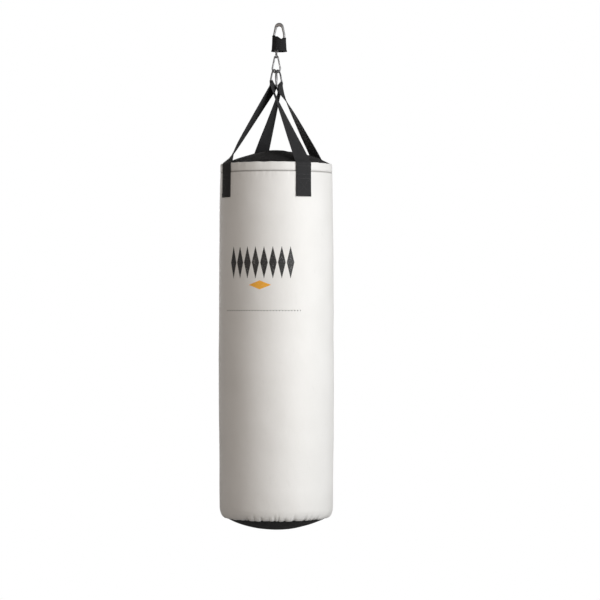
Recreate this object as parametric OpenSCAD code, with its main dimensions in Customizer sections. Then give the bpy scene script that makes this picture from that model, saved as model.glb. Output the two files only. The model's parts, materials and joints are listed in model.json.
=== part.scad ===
// Hanging heavy bag with webbing straps, D-rings, snap hook, bearing swivel and forged bow.
// Origin: the inside top of the bow's crown, where the bag hangs. +Z is up, -Y is the front.
// All sizes are in millimetres.

/* [Bag] */
// Height of the wall, from the top of the hem to its lower edge
wall_h = 1039; // [900:10:1150]
// Outside radius of the wall at its fullest
bag_r = 169.5; // [150:0.5:180]
// Depth below the hanging point at which the hem starts
hem_top = 407; // [395:1:430]
// Height of the top hem
hem_h = 27; // [20:1:35]
// Rise of the domed top cap above the hem
top_rise = 40; // [25:1:45]
// Depth of the domed bottom cap
bottom_drop = 35; // [20:1:40]
// Thickness of the coated cloth
cloth_t = 2; // [1:0.5:3]
// Thickness of the foam liner
foam_t = 12; // [8:1:20]

/* [Straps] */
// Width of the webbing
web_w = 50; // [38:1:52]
// Thickness of the webbing
web_t = 2.5; // [1.5:0.5:3]
// Height of webbing sewn to the wall, measured from the top of the hem
sewn_h = 100; // [80:5:140]
// Angle of the front straps either side of the front
front_angle = 45; // [40:1:50]
// Angle of the rear straps either side of the back
rear_angle = 37; // [34:1:48]
// Length below the ring's bar over which the two legs are sewn together
tack_len = 16; // [14:1:30]

/* [Rings] */
// Wire radius of the D-rings and the snap hook
wire_r = 2.5; // [2.5:0.1:2.6]
// Clear width inside a D-ring
ring_w = 52; // [52:1:56]
// Tilt of each D-ring away from the vertical
ring_tilt = 22; // [18:1:25]

/* [Bow and swivel] */
// Outside radius of the bow's crown
crown_r = 14; // [13:0.5:15]
// Thickness of the bow's crown
crown_t = 11; // [9:1:12]
// Thickness of the bow front to back
bow_t = 7; // [6:0.5:7]
// Radius of the cross pin
pin_r = 4; // [3.5:0.1:4]
// Distance that the swivel sits to the left of the hanging point
swivel_off = 8.8; // [8.8:0.1:8.9]
// Height of the cloth sleeve round the bow
sleeve_h = 48; // [44:1:50]

/* [Hidden] */
$fn = 64;
eps = 0.01;
gap = 0.3; // clearance between pieces that move apart
run = 0.05; // radial clearance of a pin in its hole
sew = 0.1; // clearance between pieces that are sewn or packed together

// Bow and its pin
bow_half = 18.6; // outside half width at the legs
bow_leg = 6.5; // width of a leg
bow_wide_z = -24; // where the legs become parallel
bow_turn_z = -34; // where the legs turn in to the lugs
pin_z = -49;
lug_r = 7.5;
lug_in = 12;
lug_out = 16.5;
head_r = 5.5;
head_t = 2.2;
nut_r = 5.8;
crown_steps = 12;

// Sleeve
sleeve_top = -26;
sleeve_r1 = 19.2; // inside radius at the top
sleeve_r2 = 21.8; // inside radius at the bottom
sleeve_t = 1.4;

// Swivel
eye_r = 8;
eye_w = 6;
house_r = 7.5;
house_top = -59;
house_bottom = -73;
cavity_r = 6.1;
cavity_top = -61;
floor_z = -71;
ball_r = 1.5;
ball_count = 9;
ball_ring_r = 4.55;
washer_t = 1;
stem_r = 3;
rotor_head_r = 5.2;
rotor_head_t = 2.9;
link_z = -86; // centre of the rotor's ring
link_r = 6;
link_wire = 2;

// Snap hook, a pear in the XZ plane
hook_top_r = 5.5; // centre line radius of the narrow end
hook_low_r = 12; // centre line radius of the broad end
hook_top_z = link_z - link_r + link_wire + wire_r + gap - hook_top_r;
hook_low_z = hook_top_z - 31.3;
hook_lean = asin((hook_low_r - hook_top_r) / (hook_top_z - hook_low_z));
hook_side = (hook_top_z - hook_low_z) * cos(hook_lean);
gate_pin_s = 8; // distances along the right side, from the narrow end
gate_end_s = 28;
gate_slot_s = 24.8;
gate_r = 2.3;
gate_pin_r = 0.8;
tongue_t = 1.8;
side_r = wire_r - 0.05; // the straight sides are drawn a little thinner than the bends
spring_from_s = 13;
spring_len = 8;
spring_turns = 6;
spring_coil_r = 1.1;
spring_wire = 0.22;

// D-rings
bar_half = ring_w / 2 + wire_r;
swing_z = hook_low_z - hook_low_r; // axis about which the rings swing on the hook
ring_rise = 2 * wire_r + 1.1; // centre of a ring's crown above that axis
ring_drop = 38.8; // centre of a ring's bar below that axis
ring_x = 3.3; // each ring's offset from the middle
ring_splay = 3.6;
ring_pivot = [-ring_x, 0, swing_z];

// Bag, by depth
top_z = -hem_top;
hem_z = top_z - hem_h;
low_z = top_z - wall_h;
corner_h = 32;
corner_w = 15;
full_at = 0.55; // part of the height at which the wall is fullest
fullness = 15;
lap = 10;
pad_z = top_z - 44; // lower face of the top pad
dome_edge = 159;
dome_r = (dome_edge * dome_edge + top_rise * top_rise) / (2 * top_rise);
dome_z = top_z + top_rise - dome_r;
hem_r = 163;
hem_t = 2.8;
cap_r = bag_r - 19.8; // bottom cap's edge
cap_skirt = 24;
low_dome_r = (cap_r * cap_r + bottom_drop * bottom_drop) / (2 * bottom_drop);
low_dome_z = low_z - bottom_drop + low_dome_r;
wall_steps = 18;
corner_steps = 5;
ballast_r = 45;
ballast_h = 220;
ballast_top = -690;

// Zip, laid along the dome behind its apex
zip_y = 45;
zip_tape_w = 30;
zip_arc = 17.5; // half of the angle that the zip covers, seen along Y
chain_w = 6;
chain_h = 1.4;
tape_t = 0.9;
slider_l = 12;
slider_w = 9.6;
slider_wall = 1.3;
slider_at = -15.5; // place of the slider along the arc
slider_top = 5;
bail_z = 6.6;
bail_r = 0.9;
pull_l = 34;
pull_w = 5.2;
pull_t = 1.6;
pull_lie = 6; // the pull rests leaning this much towards the cap
band_steps = 6; // flats across a band that follows the dome

// ---- helpers ----

function unit(v) = v / norm(v);
function mix(a, b, t) = a * (1 - t) + b * t;
function turn_x(v, a) = [v.x, v.y * cos(a) - v.z * sin(a), v.y * sin(a) + v.z * cos(a)];
function turn_y(v, a) = [v.x * cos(a) + v.z * sin(a), v.y, -v.x * sin(a) + v.z * cos(a)];

// Outside radius of the wall at a height z
function wall_part(z) = (top_z - z) / wall_h;
function wall_r(z) = bag_r - fullness * pow(wall_part(z) - full_at, 2);
corner_z = low_z + corner_h;
corner_r = wall_r(corner_z);

// Outline of a tube that follows the wall: radius less a, from z1 down to z2
function wall_line(a, z1, z2) =
    [for (i = [0 : wall_steps]) let (z = mix(z1, z2, i / wall_steps)) [wall_r(z) - a, z]];
function corner_line(a) =
    [for (i = [1 : corner_steps]) let (t = 90 * i / corner_steps)
        [corner_r - corner_w * (1 - cos(t)) - a, corner_z - (corner_h - a / 4) * sin(t)]];
function flip(list) = [for (i = [len(list) - 1 : -1 : 0]) list[i]];

// Closed surface through a list of rings that have the same number of points
module skin(rings) {
    n = len(rings[0]);
    m = len(rings);
    side = [for (i = [0 : m - 2], j = [0 : n - 1])
        [i * n + j, i * n + (j + 1) % n, (i + 1) * n + (j + 1) % n, (i + 1) * n + j]];
    first = [[for (j = [n - 1 : -1 : 0]) j]];
    last = [[for (j = [0 : n - 1]) (m - 1) * n + j]];
    tris = [for (f = side) each [[f[0], f[2], f[1]], [f[0], f[3], f[2]]]];
    polyhedron([for (r = rings) each r], concat(tris, [flip(first[0])], [flip(last[0])]), convexity = 8);
}

module x_rod(x1, x2, z, r) {
    translate([x1, 0, z]) rotate([0, 90, 0]) cylinder(r = r, h = x2 - x1);
}

// ---- bow, pin and sleeve ----

// Point where a line from p touches the circle of radius r round [0, cz], on the right
function touch(cz, r, p) =
    let (d = [p.x, p.y - cz], a = atan2(d.y, d.x) + acos(r / norm(d)))
    [r * cos(a), cz + r * sin(a)];

// Half of a pear's outline: the crown's arc, then the leg down to the lug
function pear_side(cz, r, half, turn_half, end_z) =
    let (shoulder = [half, bow_wide_z], t = touch(cz, r, shoulder), from = atan2(t.y - cz, t.x))
    concat([for (i = [0 : crown_steps]) let (a = mix(90, from, i / crown_steps))
            [r * cos(a), cz + r * sin(a)]],
        [shoulder, [half, bow_turn_z], [turn_half, bow_turn_z - 7], [turn_half, end_z]]);

module pear(cz, r, half, turn_half, end_z) {
    side = pear_side(cz, r, half, turn_half, end_z);
    polygon(concat(side, [for (i = [len(side) - 1 : -1 : 1]) [-side[i].x, side[i].y]]));
}

module shackle_bow() {
    hole_r = crown_r - 6;
    inset = 0.5; // the lug is this much wider than the leg on each face
    color("silver")
    difference() {
        union() {
            rotate([90, 0, 0]) linear_extrude(bow_t, center = true)
                difference() {
                    pear(crown_t - crown_r, crown_r, bow_half, lug_out - inset, pin_z);
                    pear(-hole_r, hole_r, bow_half - bow_leg, lug_in + inset, pin_z - 1);
                }
            for (s = [-1, 1])
                x_rod(s < 0 ? -lug_out : lug_in, s < 0 ? -lug_in : lug_out, pin_z, lug_r);
        }
        x_rod(-20, 20, pin_z, pin_r + run);
    }
}

module cross_pin() {
    color("dimgray") {
        x_rod(-lug_out - head_t, -lug_out - sew, pin_z, head_r);
        x_rod(-lug_out - sew - eps, lug_out + head_t, pin_z, pin_r);
    }
}

module pin_nut() {
    color("gray")
    difference() {
        translate([lug_out + sew, 0, pin_z]) rotate([0, 90, 0])
            cylinder(r = nut_r, h = head_t - sew, $fn = 6);
        x_rod(lug_out - 1, lug_out + head_t + 1, pin_z, pin_r + run);
    }
}

// Cloth cone whose top edge dips in a shallow V
module sleeve() {
    color([0.12, 0.12, 0.13])
    difference() {
        rotate_extrude()
            polygon([[sleeve_r1, sleeve_top], [sleeve_r1 + sleeve_t, sleeve_top],
                [sleeve_r2 + sleeve_t, sleeve_top - sleeve_h], [sleeve_r2, sleeve_top - sleeve_h]]);
        rotate([90, 0, 0]) linear_extrude(80, center = true)
            polygon([[-11, sleeve_top + 1], [8, sleeve_top - 14], [25, sleeve_top - 5],
                [25, sleeve_top + 1]]);
    }
}

// The closure: two flat strips at the back, one on the cloth and one over it
module closure_strip(r_out) {
    color([0.08, 0.08, 0.09])
    rotate_extrude(angle = 44, start = 68)
        polygon([for (p = [[0, sleeve_top - 16], [0.8, sleeve_top - 16], [0.8, sleeve_top - 42],
            [0, sleeve_top - 42]])
            [sleeve_r1 + (sleeve_r2 - sleeve_r1) * (sleeve_top - p.y) / sleeve_h + sleeve_t + r_out + p.x,
                p.y]]);
}

module sleeve_hook_strip() closure_strip(sew);
module sleeve_loop_strip() closure_strip(sew * 2 + 0.8);

// ---- swivel ----

module swivel_housing() {
    color("gray")
    translate([-swivel_off, 0, 0])
    difference() {
        union() {
            x_rod(-eye_w / 2, eye_w / 2, pin_z, eye_r);
            translate([0, 0, house_top - eps]) cylinder(r = 3, h = pin_z - eye_r + 2 - house_top);
            translate([0, 0, house_bottom]) cylinder(r = house_r, h = house_top - house_bottom);
        }
        x_rod(-eye_w, eye_w, pin_z, pin_r + run);
        translate([0, 0, floor_z]) cylinder(r = cavity_r, h = cavity_top - floor_z);
        translate([0, 0, house_bottom - 1]) cylinder(r = stem_r + run, h = floor_z - house_bottom + 2);
    }
}

module thrust_washer() {
    color("silver")
    translate([-swivel_off, 0, floor_z])
    difference() {
        cylinder(r = cavity_r - 0.2, h = washer_t);
        translate([0, 0, -1]) cylinder(r = stem_r + 0.3, h = washer_t + 2);
    }
}

module bearing_balls() {
    color("lightgray")
    for (i = [0 : ball_count - 1])
        translate([-swivel_off, 0, floor_z + washer_t + ball_r])
            rotate([0, 0, 360 / ball_count * i]) translate([ball_ring_r, 0, 0]) sphere(ball_r);
}

module swivel_rotor() {
    head_z = floor_z + washer_t + 2 * ball_r + run;
    color("silver")
    translate([-swivel_off, 0, 0]) {
        translate([0, 0, head_z]) cylinder(r = rotor_head_r, h = rotor_head_t);
        translate([0, 0, link_z + link_r]) cylinder(r = stem_r, h = head_z - link_z - link_r + eps);
        translate([0, 0, link_z]) rotate([0, 90, 0])
            rotate_extrude() translate([link_r, 0]) circle(link_wire);
    }
}

// ---- snap hook ----

// Frame of the right side: -Z runs down the side from the narrow end
module on_side() {
    translate([-swivel_off, 0, 0])
        translate([hook_top_r * cos(hook_lean), 0, hook_top_z + hook_top_r * sin(hook_lean)])
            rotate([0, -hook_lean, 0]) children();
}

module wire_arc(r, z, from, span) {
    translate([-swivel_off, 0, z]) rotate([90, 0, 0])
        rotate_extrude(angle = span, start = from) translate([r, 0]) circle(wire_r);
}

module tongue(from_s, to_s, r) {
    on_side()
        intersection() {
            translate([0, 0, -to_s]) cylinder(r = r, h = to_s - from_s);
            translate([-5, -tongue_t / 2, -to_s]) cube([10, tongue_t, to_s - from_s]);
        }
}

module carabiner_body() {
    color("silver")
    difference() {
        union() {
            wire_arc(hook_top_r, hook_top_z, hook_lean, 180 - 2 * hook_lean);
            wire_arc(hook_low_r, hook_low_z, 180 - hook_lean, 180 + 2 * hook_lean);
            mirror_side() translate([0, 0, -hook_side]) cylinder(r = side_r, h = hook_side);
            on_side() translate([0, 0, -5.2]) cylinder(r = side_r, h = 5.2);
            on_side() translate([0, 0, -hook_side]) cylinder(r = side_r, h = hook_side - gate_end_s - 0.4);
            tongue(5, gate_pin_s + 2, 2.2);
            tongue(25.8, 29, 2.2);
        }
        on_side() translate([0, 5, -gate_pin_s]) rotate([90, 0, 0])
            cylinder(r = gate_pin_r + run / 2, h = 10);
    }
}

module mirror_side() {
    translate([-swivel_off, 0, 0]) mirror([1, 0, 0]) translate([swivel_off, 0, 0]) on_side() children();
}

module gate_pin() {
    color("dimgray")
    on_side() translate([0, wire_r - 0.2, -gate_pin_s]) rotate([90, 0, 0])
        cylinder(r = gate_pin_r, h = 2 * wire_r - 0.4);
}

module carabiner_gate() {
    color("gainsboro")
    on_side()
    difference() {
        union() {
            translate([0, 0, -gate_end_s]) cylinder(r = gate_r, h = gate_end_s - gate_pin_s);
            translate([0, 0, -gate_pin_s])
                intersection() {
                    rotate([90, 0, 0]) cylinder(r = gate_r, h = 10, center = true);
                    cylinder(r = gate_r, h = 10, center = true);
                }
        }
        translate([-5, -tongue_t / 2 - 0.1, -gate_pin_s - 3.2]) cube([10, tongue_t + 0.2, 8]);
        translate([-5, -tongue_t / 2 - 0.1, -gate_end_s - 1])
            cube([10, tongue_t + 0.2, gate_end_s - gate_slot_s + 1]);
        translate([0, 5, -gate_pin_s]) rotate([90, 0, 0]) cylinder(r = gate_pin_r + run, h = 10);
        translate([0, 0, -spring_from_s - spring_len - 0.5]) cylinder(r = 1.5, h = spring_len + 1);
    }
}

module gate_spring() {
    steps = spring_turns * 12;
    rings = [for (i = [0 : steps]) let (a = 30 * i, z = -spring_from_s - spring_len * i / steps)
        [for (j = [0 : 7]) let (b = 45 * j, r = spring_coil_r + spring_wire * cos(b))
            [r * cos(a), r * sin(a), z + spring_wire * sin(b)]]];
    color("black") on_side() skin(rings);
}

// ---- D-rings ----

module d_ring() {
    color("silver")
    translate([-swivel_off, 0, 0]) translate(ring_pivot) rotate([-ring_tilt, ring_splay, 0]) {
        shoulder_z = ring_rise - bar_half;
        translate([0, 0, shoulder_z]) rotate([90, 0, 90])
            rotate_extrude(angle = 180) translate([bar_half, 0]) circle(wire_r);
        for (s = [-1, 1]) {
            translate([0, s * bar_half, -ring_drop]) cylinder(r = wire_r, h = shoulder_z + ring_drop);
            translate([0, s * bar_half, -ring_drop]) sphere(wire_r);
        }
        translate([0, bar_half, -ring_drop]) rotate([90, 0, 0]) cylinder(r = wire_r, h = 2 * bar_half);
    }
}

// The rear half is the front half turned round the bag's axis
module to_rear() {
    translate([-swivel_off, 0, 0]) rotate([0, 0, 180]) translate([swivel_off, 0, 0]) children();
}

module d_ring_front() d_ring();
module d_ring_rear() to_rear() d_ring();

// ---- straps ----

function ring_frame(v) = turn_y(turn_x(v, -ring_tilt), ring_splay);
bar_mid = ring_pivot + ring_frame([0, 0, -ring_drop]);
bar_dir = ring_frame([0, -1, 0]);
ring_out = ring_frame([1, 0, 0]);
ring_down = ring_frame([0, 0, -1]);
loop_r = wire_r + 0.15 + web_t / 2;
tack_x = web_t / 2 + sew;
rim_rise = 4; // height above the hem at which a leg turns over its edge
rim_in = 6; // distance that it has come inwards there
// How each strap's left and right leg turns its width from the bar to the wall along its length:
// [the part of the turn that is even, the power that the rest of it follows]
front_twist = [[0.45, 16], [0, 1.3]];
rear_twist = [[0, 0.5], [0, 1.2]];
web_rad = wall_r(hem_z) + sew + web_t / 2; // centre of the webbing on the wall

// A station is [middle, direction of the width, how far the width follows the wall's curve]
function on_wall(angle, z, out) = [[(web_rad + out) * sin(angle), -(web_rad + out) * cos(angle), z],
    [cos(angle), sin(angle), 0] * (angle < 0 ? 1 : -1), 1];
function twist(law, t) = law[0] * t + (1 - law[0]) * pow(t, law[1]);
function leg(side, angle, law) =
    let (start = bar_mid + ring_down * tack_len + ring_out * side * tack_x,
        rim = on_wall(angle, top_z + rim_rise, -rim_in), steps = 10)
    concat([for (i = [1 : steps]) let (t = i / steps)
            [mix(start, rim[0], t), unit(mix(bar_dir, rim[1], twist(law, t))), pow(t, 6)]],
        [on_wall(angle, top_z - 1, 1.2), on_wall(angle, top_z - 12, 0.6), on_wall(angle, hem_z, 0.2),
            on_wall(angle, top_z - sewn_h / 2, 0.6), on_wall(angle, top_z - sewn_h, 1)]);
function tack(side) = [for (p = [[tack_len, tack_x], [12, tack_x], [7, 2.2], [3, 3.5]])
    [bar_mid + ring_down * p[0] + ring_out * side * p[1], bar_dir, 0]];
function loop() = [for (a = [0 : 20 : 180])
    [bar_mid + ring_out * -loop_r * cos(a) - ring_down * loop_r * sin(a), bar_dir, 0]];
function strap_line(angle, laws) =
    concat(flip(leg(-1, -angle, laws[0])), tack(-1), loop(), flip(tack(1)), leg(1, angle, laws[1]));

function station_ring(p, dir, width, curl) =
    let (n = unit(cross(width, dir)), across = [-1, -0.5, 0, 0.5, 1],
        edge = [for (u = across) p + width * u * web_w / 2
            - [p.x, p.y, 0] / norm([p.x, p.y, 1]) * curl * pow(u * web_w / 2, 2) / (2 * web_rad)])
    concat([for (q = edge) q + n * web_t / 2], [for (i = [4 : -1 : 0]) edge[i] - n * web_t / 2]);

module strap(angle, laws) {
    line = strap_line(angle, laws);
    m = len(line);
    rings = [for (i = [0 : m - 1])
        let (d1 = i == 0 ? [0, 0, 0] : unit(line[i][0] - line[i - 1][0]),
            d2 = i == m - 1 ? [0, 0, 0] : unit(line[i + 1][0] - line[i][0]))
        station_ring(line[i][0], unit(d1 + d2), line[i][1], line[i][2])];
    color([0.13, 0.13, 0.14]) translate([-swivel_off, 0, 0]) skin(rings);
}

module strap_front() strap(front_angle, front_twist);
module strap_rear() to_rear() strap(rear_angle, rear_twist);

// ---- bag ----

module about_axis() {
    translate([-swivel_off, 0, 0]) rotate_extrude($fn = 96) children();
}

module side_shell() {
    color([0.93, 0.93, 0.92])
    about_axis() polygon(concat(wall_line(0, hem_z, corner_z), corner_line(0), flip(corner_line(cloth_t)),
        flip(wall_line(cloth_t, hem_z, corner_z))));
}

module rim_hem() {
    color([0.93, 0.93, 0.92])
    about_axis() translate([hem_r - hem_t, hem_z - lap]) square([hem_t - sew, hem_h + lap]);
}

module back_seam() {
    color([0.85, 0.85, 0.84])
    translate([-swivel_off, 0, 0]) rotate_extrude(angle = 5, start = 87.5)
        polygon(concat(wall_line(-sew, hem_z - 12, corner_z + 6),
            flip(wall_line(-1.2, hem_z - 12, corner_z + 6))));
}

// Spherical shell cut to the part above z = cut
module dome(r, t, cz, cut, skirt_h, edge) {
    translate([-swivel_off, 0, 0]) {
        difference() {
            translate([0, 0, cz]) sphere(r, $fn = 96);
            translate([0, 0, cz]) sphere(r - t, $fn = 96);
            translate([-500, -500, cut - 1000]) cube([1000, 1000, 1000]);
        }
        if (skirt_h > 0)
            difference() {
                translate([0, 0, cut - skirt_h]) cylinder(r = edge, h = skirt_h + eps);
                translate([0, 0, cut - skirt_h - 1]) cylinder(r = edge - t, h = skirt_h + 2);
            }
    }
}

module top_cap() {
    color([0.08, 0.07, 0.08]) dome(dome_r, cloth_t, dome_z, top_z, hem_h, dome_edge);
}

module bottom_cap() {
    color([0.16, 0.16, 0.16])
    translate([0, 0, 2 * low_z]) mirror([0, 0, 1])
        dome(low_dome_r, cloth_t, 2 * low_z - low_dome_z, low_z, cap_skirt, cap_r);
}

// ---- zip ----

// Band on the dome between y1 and y2, h1 to h2 above it, over an arc seen along Y
module zip_band(y1, y2, h1, h2, from, span) {
    function r_at(y) = sqrt(pow(dome_r, 2) - pow(y, 2));
    translate([-swivel_off, 0, dome_z]) rotate([-90, 0, 0])
        rotate_extrude(angle = span, start = 270 + from, $fn = 256)
            polygon(concat(
                [for (i = [0 : band_steps]) let (y = mix(y1, y2, i / band_steps)) [r_at(y) + h1, y]],
                [for (i = [band_steps : -1 : 0]) let (y = mix(y1, y2, i / band_steps)) [r_at(y) + h2, y]]));
}

module zip_tape() {
    color("black")
    zip_band(zip_y - zip_tape_w / 2, zip_y + zip_tape_w / 2, 2 * sew, tape_t, -zip_arc - 1, 2 * zip_arc + 2);
}

module zip_chain() {
    color([0.1, 0.1, 0.1])
    zip_band(zip_y - chain_w / 2, zip_y + chain_w / 2, tape_t + 2 * sew, tape_t + chain_h,
        -zip_arc, 2 * zip_arc);
}

module zip_stops() {
    color("silver")
    for (a = [-zip_arc - 0.7, zip_arc + 0.2])
        zip_band(zip_y - 4, zip_y + 4, tape_t + 2 * sew, tape_t + 2.4, a, 0.5);
}

// Frame on the zip at an angle along its arc: X runs along the zip, Z out of the dome
module on_zip(a) {
    lie = asin(zip_y / dome_r);
    translate([-swivel_off, 0, dome_z]) rotate([0, a, 0]) rotate([-lie, 0, 0])
        translate([0, 0, dome_r]) children();
}

module zip_slider() {
    inner = chain_w / 2 + 0.5;
    base = tape_t + 0.6;
    color("silver")
    on_zip(slider_at) {
        for (s = [-1, 1])
            translate([-slider_l / 2, s > 0 ? inner : -slider_w / 2, base])
                cube([slider_l, slider_w / 2 - inner, slider_top - base]);
        translate([-slider_l / 2, -slider_w / 2, slider_top - slider_wall])
            cube([slider_l, slider_w, slider_wall]);
        for (s = [-1, 1])
            translate([-1.2, s > 0 ? pull_w / 2 + 0.3 : -slider_w / 2, slider_top - eps])
                cube([2.4, slider_w / 2 - pull_w / 2 - 0.3, bail_z + 1.4 - slider_top]);
        translate([0, slider_w / 2, bail_z]) rotate([90, 0, 0]) cylinder(r = bail_r, h = slider_w);
    }
}

module zip_pull() {
    color("silver")
    on_zip(slider_at) translate([0, 0, bail_z]) rotate([0, -pull_lie, 0])
    difference() {
        union() {
            translate([0, pull_w / 2, 0]) rotate([90, 0, 0]) cylinder(r = 1.5, h = pull_w);
            translate([-pull_l, -pull_w / 2, -pull_t / 2]) cube([pull_l, pull_w, pull_t]);
        }
        translate([0, 10, 0]) rotate([90, 0, 0]) cylinder(r = bail_r + run, h = 20);
    }
}

// ---- filling ----

module foam_liner() {
    color("khaki")
    about_axis() polygon(concat(wall_line(cloth_t + sew, pad_z - 1, corner_z + 4),
        flip(wall_line(cloth_t + foam_t, pad_z - 1, corner_z + 4))));
}

module fibre_fill() {
    edge = cloth_t + foam_t + sew * 2;
    color("lightgray")
    difference() {
        about_axis() polygon(concat([[0, pad_z - 0.5]], wall_line(edge, pad_z - 0.5, corner_z + 4),
            [[0, corner_z + 4]]));
        translate([-swivel_off, 0, ballast_top - 3 * ballast_h - 1])
            cylinder(r = ballast_r, h = 3 * ballast_h + 2);
    }
}

module ballast(i) {
    color("tan")
    translate([-swivel_off, 0, ballast_top - ballast_h * (i + 1)])
        cylinder(r = ballast_r - 0.5, h = ballast_h - 1);
}

module ballast_upper() ballast(0);
module ballast_middle() ballast(1);
module ballast_lower() ballast(2);

module top_pad() {
    color("khaki")
    translate([-swivel_off, 0, 0])
    intersection() {
        translate([0, 0, dome_z]) sphere(dome_r - cloth_t - gap, $fn = 96);
        translate([0, 0, pad_z]) cylinder(r = dome_edge - cloth_t - hem_t - 1, h = 200);
    }
}

module bottom_pad() {
    color("khaki")
    translate([-swivel_off, 0, 0])
    intersection() {
        translate([0, 0, low_dome_z]) sphere(low_dome_r - cloth_t - gap, $fn = 96);
        translate([0, 0, low_z - 200]) cylinder(r = cap_r - cloth_t - 0.5, h = 200 + corner_h + 3.8);
    }
}

shackle_bow();
cross_pin();
pin_nut();
sleeve();
sleeve_hook_strip();
sleeve_loop_strip();
swivel_housing();
thrust_washer();
bearing_balls();
swivel_rotor();
carabiner_body();
gate_pin();
carabiner_gate();
gate_spring();
d_ring_front();
d_ring_rear();
strap_front();
strap_rear();
side_shell();
rim_hem();
back_seam();
top_cap();
bottom_cap();
zip_tape();
zip_chain();
zip_stops();
zip_slider();
zip_pull();
foam_liner();
fibre_fill();
ballast_upper();
ballast_middle();
ballast_lower();
top_pad();
bottom_pad();
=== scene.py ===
"""Hanging heavy bag: the looks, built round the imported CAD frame. Metres, +Z up, -Y is the front."""

import json
import math

import bmesh
import bpy
import numpy as np
from mathutils import Matrix, Vector, noise

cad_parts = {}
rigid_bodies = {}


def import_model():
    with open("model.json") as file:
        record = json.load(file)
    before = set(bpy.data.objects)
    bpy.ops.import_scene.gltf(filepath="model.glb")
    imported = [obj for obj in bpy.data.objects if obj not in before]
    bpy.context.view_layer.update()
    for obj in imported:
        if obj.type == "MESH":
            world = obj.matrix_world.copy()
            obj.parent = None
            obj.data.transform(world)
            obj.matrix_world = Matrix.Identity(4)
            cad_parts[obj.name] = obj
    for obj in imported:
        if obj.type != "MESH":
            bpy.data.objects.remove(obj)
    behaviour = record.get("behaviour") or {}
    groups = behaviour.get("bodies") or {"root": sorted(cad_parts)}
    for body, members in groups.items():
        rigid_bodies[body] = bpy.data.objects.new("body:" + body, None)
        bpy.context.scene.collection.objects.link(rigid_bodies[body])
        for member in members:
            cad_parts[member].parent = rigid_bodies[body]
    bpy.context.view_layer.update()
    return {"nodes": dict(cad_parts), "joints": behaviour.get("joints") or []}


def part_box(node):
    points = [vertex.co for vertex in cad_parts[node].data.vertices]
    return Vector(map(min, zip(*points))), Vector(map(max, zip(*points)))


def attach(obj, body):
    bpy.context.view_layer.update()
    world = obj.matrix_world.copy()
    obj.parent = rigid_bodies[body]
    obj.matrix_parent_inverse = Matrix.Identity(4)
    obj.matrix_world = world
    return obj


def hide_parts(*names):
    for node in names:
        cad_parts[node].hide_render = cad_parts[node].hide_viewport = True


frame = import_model()
NODES = frame["nodes"]
JOINTS = {joint["name"]: joint for joint in frame["joints"]}
MM = 0.001
TAU = 2 * math.pi

# ---- sizes, from the frame ----

WALL_LOW, WALL_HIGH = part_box("side_shell")
HEM_LOW, HEM_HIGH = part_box("rim_hem")
CAP_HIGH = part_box("top_cap")[1].z
CAP_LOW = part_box("bottom_cap")[0].z
AXIS_X = (WALL_LOW.x + WALL_HIGH.x) / 2
ON_AXIS = (AXIS_X, 0, 0)
ORIGIN = (0, 0, 0)
BAG_R = (WALL_HIGH.x - WALL_LOW.x) / 2
HEM_R = (HEM_HIGH.x - HEM_LOW.x) / 2
TOP_Z = HEM_HIGH.z
SEAM_Z = WALL_HIGH.z
LOW_Z = WALL_LOW.z
WALL_H = TOP_Z - LOW_Z
CORNER_H = 32 * MM
CORNER_W = 15 * MM
FULL_AT = 0.55  # part of the height at which the wall is fullest
FULLNESS = 15 * MM
DOME_EDGE = 159 * MM
DOME_R = (DOME_EDGE**2 + (CAP_HIGH - TOP_Z) ** 2) / (2 * (CAP_HIGH - TOP_Z))
DOME_Z = CAP_HIGH - DOME_R

# Zip, behind the crown of the top cap
ZIP_Y = JOINTS["zip_run"]["pos_m"][1]
ZIP_ARC = 17.5  # degrees either side of the crown
TAPE_HALF = 15 * MM

# Straps and rings, as the rings hang on the snap hook
WEB_W = 50 * MM
WEB_T = 2.2 * MM
WIRE = 2.5 * MM  # radius of the rings' and the snap hook's wire
SEWN_H = 100 * MM  # length of a leg that is sewn to the wall
TACK = 16 * MM  # length over which a strap's two legs are sewn together
RIM_RISE = 4 * MM  # how far above the hem a leg turns over it
RIM_IN = 6 * MM  # and how far inside the line of the wall
# How each leg turns its width from the bar to the wall: the even part, and the power of the rest
TWISTS = {"front": {-1: (0.45, 16), 1: (0, 1.3)}, "rear": {-1: (0, 0.5), 1: (0, 1.2)}}
RING_TILT = math.radians(22)
RING_SPLAY = math.radians(3.6)
RING_X = 3.3 * MM
RING_RISE = 6.1 * MM
RING_DROP = 38.8 * MM
BAR_HALF = 28.5 * MM
STRAP_ANGLES = {"front": math.radians(45), "rear": math.radians(37)}
SWING_Z = JOINTS["bag_swing"]["pos_m"][2]
HOOK_TOP_Z = JOINTS["carabiner_sway"]["pos_m"][2]
PIN_Z = JOINTS["swivel_swing"]["pos_m"][2]


def wall_radius(z):
    """Outside radius of the wall at a height z, bottom corner included."""
    part = (TOP_Z - z) / WALL_H
    radius = BAG_R - FULLNESS * (part - FULL_AT) ** 2
    below = LOW_Z + CORNER_H - z
    if below > 0:
        radius -= CORNER_W * (1 - math.sqrt(max(0, 1 - (below / CORNER_H) ** 2)))
    return radius


def in_mm(*pairs):
    """Pairs of measures, from millimetres."""
    return [(a * MM, b * MM) for a, b in pairs]


def on_bag(angle, radius, z):
    """A point round the bag's axis; angle 0 is the front and grows towards +X."""
    return Vector((AXIS_X + radius * math.sin(angle), -radius * math.cos(angle), z))


def smooth_step(t):
    t = min(1, max(0, t))
    return t * t * (3 - 2 * t)


# ---- shader wiring ----


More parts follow.
